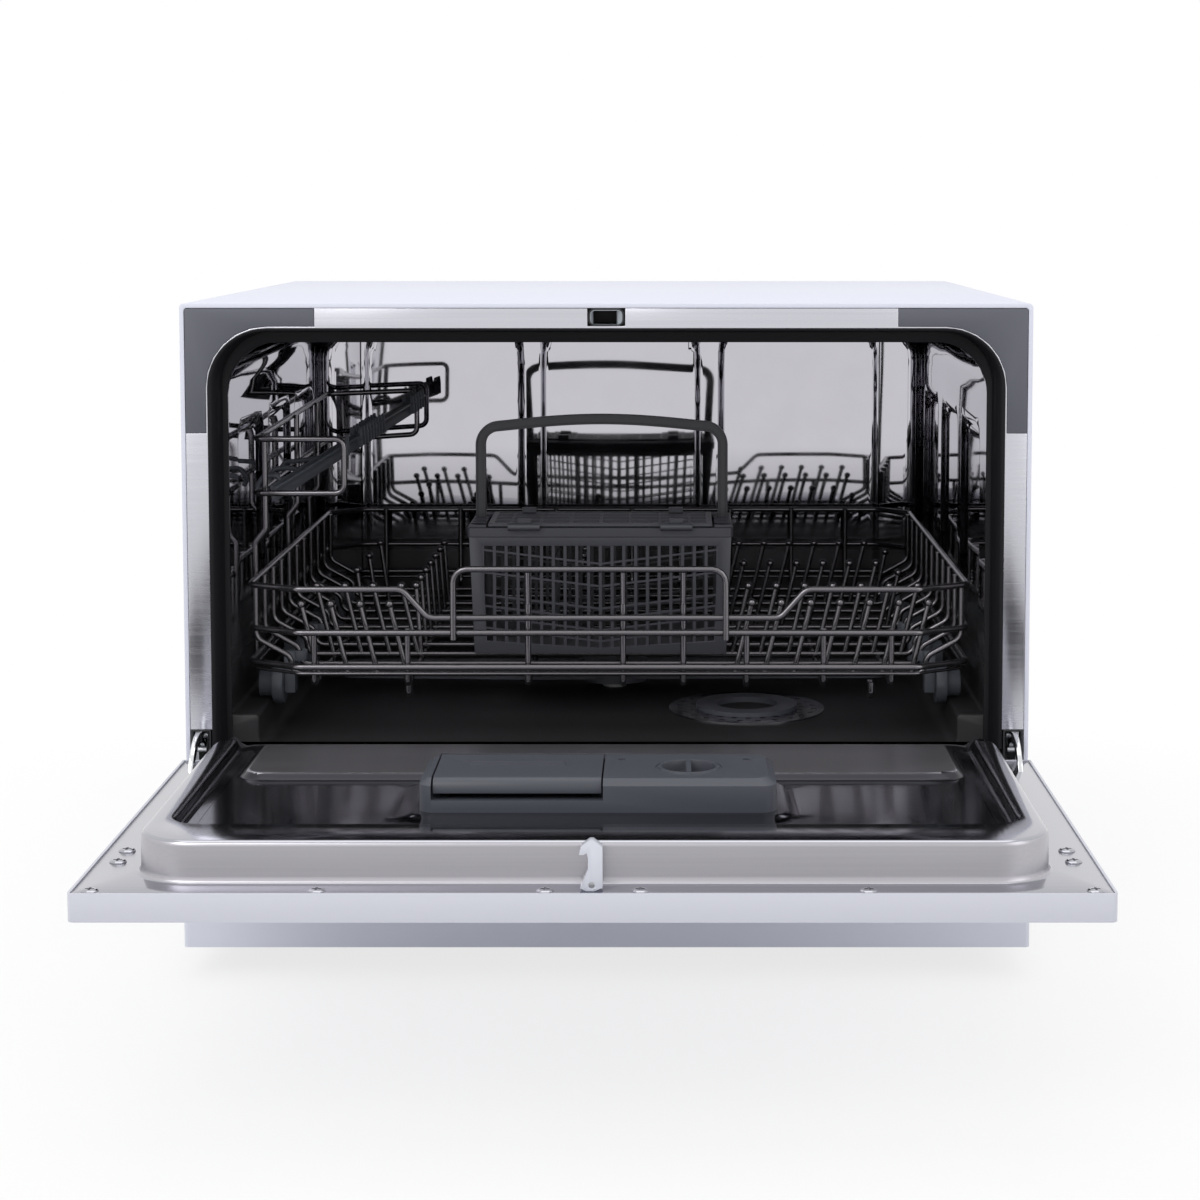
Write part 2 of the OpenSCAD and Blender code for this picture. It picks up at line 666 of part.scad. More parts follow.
module door_liner() {
    t = sheet_t;
    flange_x = half_w - panel_t - 0.2;
    color("silver") difference() {
        union() {
            slab(round_box(-flange_x, near_y + panel_t + 0.2, flange_x, door_far, 3), flange_z - t, flange_z);
            slab(round_box(-pan_half, pan_near, pan_half, pan_far, pan_r), flange_z - t, pan_top);
        }
        difference() {
            slab(round_box(-pan_half + t, pan_near + t, pan_half - t, pan_far - t, pan_r - t),
                flange_z - t - 1, pan_top - t);
            translate([0, 0, recess_z - t]) linear_extrude(20) recess_outline(t);
        }
        difference() {
            translate([0, 0, recess_z]) linear_extrude(20) recess_outline(0);
            slab(round_box(-ledge_in + 15, step_y, ledge_in - 15, pan_far - 11, 14), recess_z - 1, recess_z + step_up);
        }
        slab(round_box(-ledge_in + 15 + t, step_y + t, ledge_in - 15 - t, pan_far - 12 + t, 14), recess_z - t - 1,
            recess_z + step_up - t);
        at_screws() rod_z(0, 0, flange_z - 3, flange_z + 1, 1.7);
        both_sides() box([pocket_x0, pocket_y, flange_z - 3], [pocket_x1, door_far + 1, flange_z + 1]);
        disp_cut(0.3);
    }
}
module disp_cut(grow) {
    box([-disp_w / 2 + 6 - grow, disp_near + 6 - grow, recess_z - 2],
        [disp_w / 2 - 6 + grow, disp_near + disp_d - 6 + grow, recess_z + 1]);
}
module door_screws() {
    color("silver") at_screws() {
        rod_z(0, 0, flange_z + 0.02, flange_z + 1.2, 3.6);
        rod_z(0, 0, flange_z + 1.1, flange_z + 2, 2.6);
        rod_z(0, 0, panel_low + 5, flange_z + 0.5, 1.5);
    }
}
module door_felt() {
    color([0.25, 0.25, 0.26]) difference() {
        box([-ledge_in - 7, pan_near + 74, panel_low + panel_t + 0.3],
            [ledge_in + 7, pan_far - 16, recess_z - sheet_t - 2.5]);
        box([-disp_w / 2 - 2, disp_near - 4, flange_z - 2], [disp_w / 2 + 2, disp_near + disp_d + 4, recess_z]);
        rect(grip, 3, panel_low, recess_z);
    }
}
module hinge_arm_right() {
    color("silver") union() {
        translate([arm_x0, hinge_y, hinge_z]) rotate([90, 0, 90]) rotate([0, 0, arm_start])
            rotate_extrude(angle = 174 - arm_start) translate([arm_r0, 0])
                square([arm_r1 - arm_r0, arm_x1 - arm_x0]);
        along_x(arm_x0, arm_x1) polygon([[hinge_y - 22, panel_low + panel_t + 0.3],
            [hinge_y - 22, hinge_z + 7.5], [hinge_y - 110, flange_z - 3],
            [hinge_y - 120, panel_low + panel_t + 0.3]]);
    }
}
module hinge_arm_left() { mirror([1, 0, 0]) hinge_arm_right(); }
module grip_cup() {
    g = 0.2;
    color([0.2, 0.2, 0.22]) difference() {
        union() {
            rect(grip, -g, panel_low, panel_low + panel_t + 0.5);
            rect(grip, 2.5, panel_low + panel_t + 0.02, panel_low + panel_t + 2);
            rect(grip, -g, panel_low + 1, panel_low + 15);
        }
        rect(grip, -2, panel_low - 1, panel_low + 13);
    }
}
module control_fascia() {
    g = 0.2;
    color([0.1, 0.1, 0.11]) difference() {
        union() {
            rect(fascia, -g, panel_low, panel_low + panel_t + 0.5);
            rect(fascia, 3, panel_low + panel_t + 0.02, panel_low + panel_t + 1.5);
        }
        for (x = button_xs) rod_z(x, button_y, panel_low - 1, panel_low + 5, button_r + run_gap);
        rect(display, 0, panel_low - 1, panel_low + 5);
    }
}
module display_window() {
    color([0.05, 0.05, 0.06]) union() {
        rect(display, -0.15, panel_low, panel_low + panel_t + 1.6);
        rect(display, 1.5, panel_low + panel_t + 1.52, panel_low + panel_t + 2.6);
    }
}
module control_board() {
    color([0.1, 0.3, 0.15]) union() {
        box([fascia[0] + 30, near_y + 20, board_z], [fascia[2] - 30, near_y + 50, board_z + 1.6]);
        for (x = button_xs) box([x - 3, button_y - 3, board_z - 2.6], [x + 3, button_y + 3, board_z + 0.1]);
        rect(display, -2, board_z - 3.8, board_z + 0.1);
        for (x = [-80, 80]) rod_z(x, near_y + 35, panel_low + panel_t + 1.5, board_z + 0.1, 3);
    }
}
module button_at(x, shade) {
    color(shade) union() {
        rod_z(x, button_y, panel_low - 0.6, panel_low + 4, button_r);
        rod_z(x, button_y, panel_low + panel_t + 1.5 + run_gap, panel_low + 4.3, button_r + 1.4);
    }
}
module power_button() { button_at(button_xs[0], [0.85, 0.85, 0.86]); }
module program_button() { button_at(button_xs[1], [0.8, 0.8, 0.82]); }
module delay_button() { button_at(button_xs[2], [0.8, 0.8, 0.82]); }
module start_button() { button_at(button_xs[3], [0.85, 0.85, 0.86]); }
module latch_bracket() {
    color("silver") union() {
        box([-5, hook_y1 + run_gap, flange_z + 0.02], [5, hook_y1 + 1.3, flange_z + 7]);
        rod_y(hook_pin_x, hook_y0, hook_y1 + 0.5, hook_pin_z, 1.5);
    }
}
module latch_hook() {
    z0 = flange_z + 0.4;
    color([0.9, 0.9, 0.94]) difference() {
        along_y(hook_y0, hook_y1) polygon([[-6.6, z0 + 1.6], [-3.4, z0], [0.9, z0], [5.2, z0 + 1.8],
            [5.2, z0 + 23.6], [0.5, z0 + 27.2],
            [-1.5, z0 + 27.2], [-5.8, z0 + 24], [-7.2, z0 + 19.4], [-4.6, z0 + 19.4], [-3.2, z0 + 20.4],
            [-2.4, z0 + 17.5], [-2.4, z0 + 11.5], [-5.6, z0 + 4]]);
        rod_y(hook_pin_x, hook_y0 - 1, hook_y1 + 1, hook_pin_z, 1.5 + 0.08);
    }
}

// ---- Dispenser ----
module dispenser_profile(grow) {
    polygon(round_box(-disp_w / 2 + grow, disp_near + grow, disp_w / 2 - grow, disp_near + disp_d - grow, 9));
}
module dispenser_body() {
    color([0.36, 0.38, 0.42]) difference() {
        union() {
            translate([0, 0, recess_z + 0.02]) linear_extrude(disp_h - 7) dispenser_profile(0);
            translate([0, 0, recess_z + disp_h - 7.1]) linear_extrude(7.1) dispenser_profile(4.5);
            box([-disp_w / 2 + 6, disp_near + 6, recess_z - 15], [disp_w / 2 - 6, disp_near + disp_d - 6, recess_z + 1]);
        }
        box([lid_left - 1, lid_near - 4.5, disp_top - 12], [lid_right + 1, lid_far + 3.4, disp_top + 1]);
        box([lid_left + 6, lid_near + 8, recess_z - 12], [lid_right - 6, lid_far - 6, disp_top]);
        rod_z(cap_x, cap_y, disp_top - 9, disp_top + 1, cap_d / 2 + run_gap);
        rod_z(cap_x, cap_y, recess_z - 10, disp_top - 5, cap_d / 2 - 5);
        for (x = [13, 85]) rod_z(x, disp_near + disp_d - 18, disp_top - 3, disp_top + 1, 2.4);
    }
    color([0.36, 0.38, 0.42]) rod_x(lid_left - 2, lid_right + 2, lid_far, lid_pivot_z, lid_pin_r);
}
module dispenser_lid() {
    x0 = lid_left;
    x1 = lid_right;
    color([0.4, 0.42, 0.46]) difference() {
        union() {
            along_x(x0, x1) polygon(concat([[lid_near, disp_top - 8.5]], arc(lid_near + 6, disp_top - 6, 6, 180, 90, 4),
                [[lid_far, disp_top], [lid_far, disp_top - 4.6], [lid_near + 3, disp_top - 3.4], [lid_near + 2.4, disp_top - 8.5]]));
            box([x0 + 18, lid_far - 26, disp_top - 1], [x1 - 22, lid_far - 22, disp_top + 1.6]);
            rod_x(x0, x1, lid_far, lid_pivot_z, 2.6);
        }
        rod_x(x0 - 1, x1 + 1, lid_far, lid_pivot_z, lid_pin_r + run_gap);
    }
}
module rinse_cap() {
    color([0.4, 0.42, 0.46]) difference() {
        union() {
            rod_z(cap_x, cap_y, disp_top - 8.6, disp_top - 0.2, cap_d / 2);
            rod_z(cap_x, cap_y, disp_top - 0.3, disp_top + 0.8, cap_d / 2 - 1.5);
        }
        difference() {
            rod_z(cap_x, cap_y, disp_top - 6, disp_top + 2, cap_d / 2 - 3.5);
            box([cap_x - 1.4, cap_y - cap_d / 2, disp_top - 7], [cap_x + 1.4, cap_y + cap_d / 2, disp_top + 0.8]);
        }
    }
}

// ---- Rack ----
up = [0, 0, 1];
module rail(z) {
    h = rack_half;
    wire(up, [[h, rack_front + 22, z], [h - rack_cut, rack_front, z], [-h + rack_cut, rack_front, z],
        [-h, rack_front + 22, z], [-h, rack_back - 26, z], [-h + 26, rack_back, z],
        [h - 26, rack_back, z], [h, rack_back - 26, z]], closed = true);
}
// The top rail: a ring that is open at the front, and the dipped bar that closes it
module top_rail() {
    h = rack_half;
    z = rail_top;
    wire(up, [[h - 101, rack_front, z], [h - rack_cut, rack_front, z], [h, rack_front + 22, z],
        [h, rack_back - 26, z], [h - 26, rack_back, z], [-h + 26, rack_back, z], [-h, rack_back - 26, z],
        [-h, rack_front + 22, z], [-h + rack_cut, rack_front, z], [-h + 95, rack_front, z]]);
    wire([0, 1, 0], [[h - 101.1, rack_front, z], [h - 112, rack_front, z], [h - 127, rack_front, dip_z],
        [-h + 121, rack_front, dip_z], [-h + 106, rack_front, z], [-h + 95.1, rack_front, z]]);
}
module cross_wire(y) {
    x = rack_half - weld;
    j = rack_bend;
    wire([0, 1, 0], [[-x, y, rail_top + 1], [-x, y, rail_low + 16], [-j, y, rail_low + 4], [-j, y, cross_z],
        [j, y, cross_z], [j, y, rail_low + 4], [x, y, rail_low + 16], [x, y, rail_top + 1]]);
}
module long_wire(x) {
    y0 = rack_front + weld;
    y1 = rack_back - weld;
    tall = len(search(x, handle_xs)) > 0;
    front = tall ? [[x, rack_front - weld, handle_top - weld - 0.8], [x, y0, rail_top - 10]] : [[x, y0, rail_mid + 3]];
    wire([1, 0, 0], concat(front, [[x, y0, floor_z + 4], [x, y0 + 4, floor_z], [x, y1 - 4, floor_z],
        [x, y1, floor_z + 4], [x, y1, rail_top + 1]]));
}
module tine(x, y, lean, h, back = 0) {
    z0 = cross_z + wire_r + 0.7;
    rod([x, y, z0], [x + lean, y + back, cross_z + h], wire_r * 0.86);
    translate([x + lean, y + back, cross_z + h]) sphere(wire_r * 1.3);
}
function row_y(i) = row_first + i * row_pitch;
module cup_loop(y) {
    x0 = -rack_half + weld;
    x1 = -rack_half + 60;
    wire([0, 1, 0], [[x0, y, cup_high], [x1, y, cup_high], [x1, y, cup_low], [x0, y, cup_low]], closed = true);
}
module rack_wires() {
    loop_y = rack_front - weld;
    color([0.45, 0.43, 0.42]) union() {
        top_rail();
        rail(rail_mid);
        rail(rail_low);
        for (i = [0 : row_count - 1]) cross_wire(row_y(i));
        for (x = long_xs) long_wire(x);
        wire([0, 1, 0], [[-102, loop_y, rail_mid - 5], [-102, loop_y, handle_top - 8], [-94, loop_y, handle_top],
            [70, loop_y, handle_top], [78, loop_y, handle_top - 8], [78, loop_y, rail_mid - 5]]);
        for (i = [0 : 3], k = [0, 2]) tine(-rack_half + 45 + i * tine_pitch, row_y(k), -12, tine_h);
        for (i = [0 : 4]) tine(rack_half - 116 + i * (tine_pitch - 1), row_y(0), 11, tine_h);
        for (i = [0 : 4]) tine(rack_half - 128 + i * (tine_pitch - 1), row_y(2), 11, tine_h);
        for (i = [0 : 5], k = [4, 6]) tine(rack_half - 140 + i * (tine_pitch - 1), row_y(k), 14, tine_h + 34);
        for (i = [5 : 8]) tine(-rack_half + 52, row_y(i), -10, tine_h + 24, 3);
        for (i = [5 : 8]) tine(-rack_half + 120, row_y(i), -8, tine_h + 24, 3);
        for (i = [5 : 8]) tine(-30, row_y(i), 6, tine_h + 14, 3);
        cup_loop(comb_y0);
        cup_loop(comb_y1);
        for (z = [cup_low, cup_high]) rod([-rack_half, comb_y0 - 4, z], [-rack_half, comb_y1 + 4, z], wire_r);
        for (i = [1, 5, 8]) rod_z(-rack_half + weld, row_y(i) + 8, rail_low - 3, cup_high + 3, wire_r);
    }
}
module wheel(y) {
    translate([0, y, axle_z]) rotate([0, 90, 0]) {
        difference() {
            union() {
                translate([0, 0, ledge_in - 8]) cylinder(h = 7.6, r = flange_r);
                translate([0, 0, ledge_in - 1]) cylinder(h = 10, r = wheel_r - 0.1);
            }
            translate([0, 0, ledge_in - 9]) cylinder(h = 20, r = axle_r + run_gap);
            translate([0, 0, ledge_in + 6]) cylinder(h = 4, r = wheel_r - 3);
        }
    }
}
module wheel_right_front() { color([0.42, 0.46, 0.5]) wheel(wheel_ys[0]); }
module wheel_right_middle() { color([0.42, 0.46, 0.5]) wheel(wheel_ys[1]); }
module wheel_right_back() { color([0.42, 0.46, 0.5]) wheel(wheel_ys[2]); }
module wheel_left_front() { mirror([1, 0, 0]) wheel_right_front(); }
module wheel_left_middle() { mirror([1, 0, 0]) wheel_right_middle(); }
module wheel_left_back() { mirror([1, 0, 0]) wheel_right_back(); }
module wheel_axles() {
    clip_x = rack_bend + wire_r + 0.3;
    color([0.4, 0.43, 0.47]) both_sides() for (y = wheel_ys) {
        rod_x(clip_x, ledge_in + 8, y, axle_z, axle_r);
        box([clip_x, y - 6, axle_z - 6], [ledge_in - 8.4, y + 6, rail_low + 1]);
        difference() {
            rod_z(rack_bend, y, cross_z + 1.74, rail_low + 1, 5.5);
            rod_z(rack_bend, y, cross_z + 1.54, rail_low + 2, wire_r + 0.05);
            box([rack_bend - 6, y - 1.9, cross_z + 1.54], [rack_bend, y + 1.9, rail_low + 2]);
        }
    }
}
module cup_comb() {
    v = comb_b - comb_a;
    color([0.45, 0.49, 0.53]) difference() {
        union() {
            translate(comb_a) rotate([0, 0, atan2(v[1], v[0])]) {
                rotate([0, -atan2(v[2], norm([v[0], v[1]])), 0]) {
                    translate([0, -1.5, 0]) cube([norm(v), 3, 11]);
                    translate([0, -4, 9]) cube([norm(v), 8, 2]);
                    for (i = [0 : 7]) translate([norm(v) * 0.55 + i * 7, -4, 10]) cube([3, 8, 6]);
                    for (i = [0 : 3]) translate([norm(v) - 26 + i * 7, -4, 10]) cube([3, 8, 6]);
                }
            }
            for (k = [0.06, 0.22, 0.38]) let (p = comb_a + k * v) {
                rod_y(-rack_half, p[1] - 4, p[1] + 4, cup_low, wire_r + 2.6);
                box([-rack_half + 1, p[1] - 2.5, cup_low - 3], [p[0], p[1] + 2.5, cup_low]);
            }
        }
        rod_y(-rack_half, comb_y0 - 5, comb_y1 + 5, cup_low, wire_r + run_gap);
        box([-rack_half - 10, comb_y0, 300], [-rack_half - 1.2, comb_y1, 304]);
    }
}

// ---- Cutlery basket ----
module lattice_window(z0, z1, pitch, rib) {
    n = floor((basket_w - 20) / pitch);
    for (i = [0 : n - 1]) translate([bx0 + 10 + i * pitch, by0 - 1, z0]) cube([pitch - rib, basket_d + 2, z1 - z0]);
}
module cutlery_basket() {
    t = basket_t;
    color([0.36, 0.37, 0.41]) difference() {
        slab(round_box(bx0, by0, bx1, by1, 5), basket_low, basket_top);
        slab(round_box(bx0 + t, by0 + t, bx1 - t, by1 - t, 4), basket_low + t, basket_top + 1);
        lattice_window(basket_low + 10, basket_low + 32, 13.5, 3);
        lattice_window(basket_low + 35, basket_low + 54, 13.5, 3);
        lattice_window(basket_low + 57, basket_low + 75, 13.5, 3);
        for (j = [0 : 4]) translate([bx0 - 1, by0 + 10 + j * 13.4, basket_low + 10]) cube([basket_w + 2, 10, 64]);
        for (i = [0 : 9], j = [0 : 3]) translate([bx0 + 11 + i * 16.4, by0 + 10 + j * 17, basket_low - 1]) cube([12, 13, 5]);
    }
}
module basket_handle() {
    x0 = bx0 + t_handle;
    x1 = bx1 - t_handle;
    ym = (by0 + by1) / 2 + 4;
    z0 = basket_top + 0.3;
    z1 = basket_top + arch_h;
    color([0.3, 0.31, 0.35]) union() {
        along_y(ym - 4, ym + 4) difference() {
            polygon(concat([[x0 - 3.5, z0], [x0 + 3.5, z0]], [[x0 + 3.5, z1 - 26]], arc(x0 + 21.5, z1 - 26, 18, 180, 100, 6),
                [for (i = [1 : 7]) [x0 + 18 + (x1 - x0 - 36) * i / 8, z1 - 8.3 + 2.4 * sin(180 * i / 8)]],
                arc(x1 - 21.5, z1 - 26, 18, 80, 0, 6), [[x1 - 3.5, z0], [x1 + 3.5, z0]],
                arc(x1 - 21.5, z1 - 26, 25, 0, 80, 6),
                [for (i = [7 : -1 : 1]) [x0 + 18 + (x1 - x0 - 36) * i / 8, z1 - 1.4 + 2.4 * sin(180 * i / 8)]],
                arc(x0 + 21.5, z1 - 26, 25, 100, 180, 6)));
        }
        for (x = [x0, x1]) box([x - 3, ym - 3, basket_top - 16], [x + 3, ym + 3, z0 + 1]);
    }
}
module basket_lid() {
    x0 = bx0 + t_handle + 8;
    x1 = bx1 - t_handle - 8;
    y0 = by0 + 2;
    z0 = basket_top + 0.4;
    color([0.38, 0.4, 0.44]) difference() {
        union() {
            box([x0, y0, z0], [x1, y0 + lid_d, z0 + 2.4]);
            for (x = [x0 + 14, x1 - 36]) rod_x(x, x + 22, by0 - 2.8, z0 + 0.4, 2.5);
            for (x = [x0 + 14, x1 - 36]) box([x, by0 - 2.8, z0], [x + 22, y0 + 1, z0 + 2.4]);
            for (x = [x0 + 20, x1 - 32]) box([x, y0 + lid_d - 4, z0 + 1], [x + 10, y0 + lid_d, z0 + 5]);
        }
        for (k = [0 : 4]) for (j = [0 : 6]) translate([x0 + 5 + k * (x1 - x0 - 8) / 5, y0 + 7 + j * 7.6, z0 - 1])
            cube([(x1 - x0 - 8) / 5 - 4, 4.4, 5]);
    }
}

translate([0, -mid_y, 0]) {
    outer_casing();
    back_panel();
    base_tray();
    plinth();
    levelling_feet();
    tub();
    front_frame();
    corner_trim_left();
    corner_trim_right();
    latch_housing();
    door_gasket();
    hinge_cover_left();
    hinge_cover_right();
    hinge_bracket_left();
    hinge_bracket_right();
    door_spring_left();
    door_spring_right();
    insulation_mat();
    sump();
    filter_plate();
    filter_cup();
    spray_arm();
    circulation_pump();
    drain_pump();
    water_heater();
    inlet_valve();
    drain_spigot();
    cord_inlet();
    air_break();
    door_outer_panel();
    door_liner();
    door_screws();
    door_felt();
    hinge_arm_left();
    hinge_arm_right();
    grip_cup();
    control_fascia();
    display_window();
    control_board();
    power_button();
    program_button();
    delay_button();
    start_button();
    latch_bracket();
    latch_hook();
    dispenser_body();
    dispenser_lid();
    rinse_cap();
    rack_wires();
    wheel_left_front();
    wheel_left_middle();
    wheel_left_back();
    wheel_right_front();
    wheel_right_middle();
    wheel_right_back();
    wheel_axles();
    cup_comb();
    cutlery_basket();
    basket_handle();
    basket_lid();
}
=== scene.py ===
import bpy
import bmesh
import json
import math
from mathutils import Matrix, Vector


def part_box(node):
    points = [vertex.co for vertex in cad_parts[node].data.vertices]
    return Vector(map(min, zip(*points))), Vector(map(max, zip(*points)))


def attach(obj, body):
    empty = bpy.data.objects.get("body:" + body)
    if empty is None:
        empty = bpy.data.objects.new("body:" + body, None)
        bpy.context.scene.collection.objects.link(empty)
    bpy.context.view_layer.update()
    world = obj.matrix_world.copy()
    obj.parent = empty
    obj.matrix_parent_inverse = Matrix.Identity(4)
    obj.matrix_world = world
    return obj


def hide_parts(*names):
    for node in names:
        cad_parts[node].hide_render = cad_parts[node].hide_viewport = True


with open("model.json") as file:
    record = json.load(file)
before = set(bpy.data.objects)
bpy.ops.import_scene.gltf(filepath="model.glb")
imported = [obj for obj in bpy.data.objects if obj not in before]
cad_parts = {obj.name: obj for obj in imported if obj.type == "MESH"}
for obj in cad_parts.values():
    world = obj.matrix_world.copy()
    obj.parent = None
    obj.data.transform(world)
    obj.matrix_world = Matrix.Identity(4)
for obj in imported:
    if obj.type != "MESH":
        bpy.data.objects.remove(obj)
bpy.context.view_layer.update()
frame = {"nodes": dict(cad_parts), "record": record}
bodyOfNode = {n: b for b, names in frame["record"]["behaviour"]["bodies"].items() for n in names}
slotOfNode = {s["node"]: s["material_slot"] for s in frame["record"]["subparts"]}
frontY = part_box("outer_casing")[0].y * 1000  # the cabinet's front plane, in mm

print("stage: frame loaded,", len(frame["nodes"]), "nodes")


def at(x, y, z):  # mm from the middle of the cabinet's front plane, on the worktop
    return Vector((x, y + frontY, z)) / 1000


# an empty node group with its named sockets, given with its input and output nodes
def makeTree(name, kind, inputs, outputs):
    tree = bpy.data.node_groups.new(name, kind)
    for label, socket, *value in inputs:
        s = tree.interface.new_socket(label, in_out="INPUT", socket_type="NodeSocket" + socket)
        if value:
            s.default_value = value[0]
    for label, socket in outputs:
        tree.interface.new_socket(label, in_out="OUTPUT", socket_type="NodeSocket" + socket)
    return tree, tree.nodes.new("NodeGroupInput"), tree.nodes.new("NodeGroupOutput")


def addNode(tree, kind, values=None, **settings):  # settings first, then the values of its inputs
    node = tree.nodes.new(kind)
    for key, value in settings.items():
        setattr(node, key, value)
    for key, value in (values or {}).items():
        node.inputs[key].default_value = value
    return node


def link(tree, *pairs):  # each pair is a node and its output, then a node and its input
    for source, out, target, into in pairs:
        tree.links.new(source.outputs[out], target.inputs[into])


def makeGrainGroup():  # fine long scratches of brushed or rolled sheet: tint and roughness
    g, gi, go = makeTree(
        "sheetGrain", "ShaderNodeTree",
        [("Color", "Color", (0.7, 0.7, 0.7, 1)), ("Stretch", "Vector", (4, 400, 400)),
         ("Tint Change", "Float", 0.05), ("Roughness", "Float", 0.3), ("Rough Change", "Float", 0.08)],
        [("Color", "Color"), ("Roughness", "Float"), ("Height", "Float")])
    place, stretch = addNode(g, "ShaderNodeTexCoord"), addNode(g, "ShaderNodeMapping")
    fine = addNode(g, "ShaderNodeTexNoise", {"Scale": 1, "Detail": 3})
    wide = addNode(g, "ShaderNodeTexNoise", {"Scale": 6})
    fineMid = addNode(g, "ShaderNodeMath", {1: 0.5}, operation="SUBTRACT")
    wideMid = addNode(g, "ShaderNodeMath", {1: 0.5}, operation="SUBTRACT")
    tint = addNode(g, "ShaderNodeMath", {2: 1}, operation="MULTIPLY_ADD")
    scale = addNode(g, "ShaderNodeVectorMath", operation="SCALE")
    both = addNode(g, "ShaderNodeMath", operation="ADD")
    rough = addNode(g, "ShaderNodeMath", operation="MULTIPLY_ADD")
    link(g, (place, "Object", stretch, "Vector"), (gi, "Stretch", stretch, "Scale"),
         (stretch, "Vector", fine, "Vector"), (place, "Object", wide, "Vector"),
         (fine, "Fac", fineMid, 0), (wide, "Fac", wideMid, 0), (fineMid, 0, tint, 0),
         (gi, "Tint Change", tint, 1), (gi, "Color", scale, 0), (tint, 0, scale, "Scale"),
         (scale, 0, go, "Color"), (fineMid, 0, both, 0), (wideMid, 0, both, 1), (both, 0, rough, 0),
         (gi, "Rough Change", rough, 1), (gi, "Roughness", rough, 2), (rough, 0, go, "Roughness"),
         (fine, "Fac", go, "Height"))
    return g


def makeMoldGroup():  # fine spark texture of moulded plastic and sprayed paint
    g, gi, go = makeTree("moldTexture", "ShaderNodeTree", [("Grain Scale", "Float", 1800)],
                         [("Height", "Float")])
    place, spark = addNode(g, "ShaderNodeTexCoord"), addNode(g, "ShaderNodeTexNoise", {"Detail": 2})
    link(g, (place, "Object", spark, "Vector"), (gi, "Grain Scale", spark, "Scale"),
         (spark, "Fac", go, "Height"))
    return g


sheetGrain = makeGrainGroup()
moldTexture = makeMoldGroup()


def newMaterial(name, color, roughness=0.5, metallic=0.0, coat=0.0, specular=0.5, transmission=0.0):
    m = bpy.data.materials.new(name)
    m.use_nodes = True
    inputs = m.node_tree.nodes["Principled BSDF"].inputs
    for key, value in (("Base Color", (*color, 1)), ("Roughness", roughness), ("Metallic", metallic),
                       ("Coat Weight", coat), ("Specular IOR Level", specular),
                       ("Transmission Weight", transmission)):
        inputs[key].default_value = value
    m.diffuse_color = (*color, 1)
    return m


def addBump(m, source, out, strength, height):  # height in mm
    t = m.node_tree
    bump = addNode(t, "ShaderNodeBump", {"Strength": strength, "Distance": height / 1000})
    link(t, (source, out, bump, "Height"), (bump, "Normal", t.nodes["Principled BSDF"], "Normal"))


def steel(name, color, roughness, stretch, tint=0.08, roughChange=0.1, bump=0.02):
    m = newMaterial(name, color, roughness, 1.0)
    t = m.node_tree
    b = t.nodes["Principled BSDF"]
    grain = addNode(t, "ShaderNodeGroup", {
        "Color": (*color, 1), "Stretch": stretch, "Tint Change": tint, "Roughness": roughness,
        "Rough Change": roughChange}, node_tree=sheetGrain)
    link(t, (grain, "Color", b, "Base Color"), (grain, "Roughness", b, "Roughness"))
    if bump:
        addBump(m, grain, "Height", bump, 0.4)
    return m


def plastic(name, color, roughness, grain=1800, bump=0.12, coat=0.0, specular=0.5):
    m = newMaterial(name, color, roughness, 0.0, coat, specular)
    texture = addNode(m.node_tree, "ShaderNodeGroup", {"Grain Scale": grain}, node_tree=moldTexture)
    addBump(m, texture, "Height", bump, 0.2)
    return m


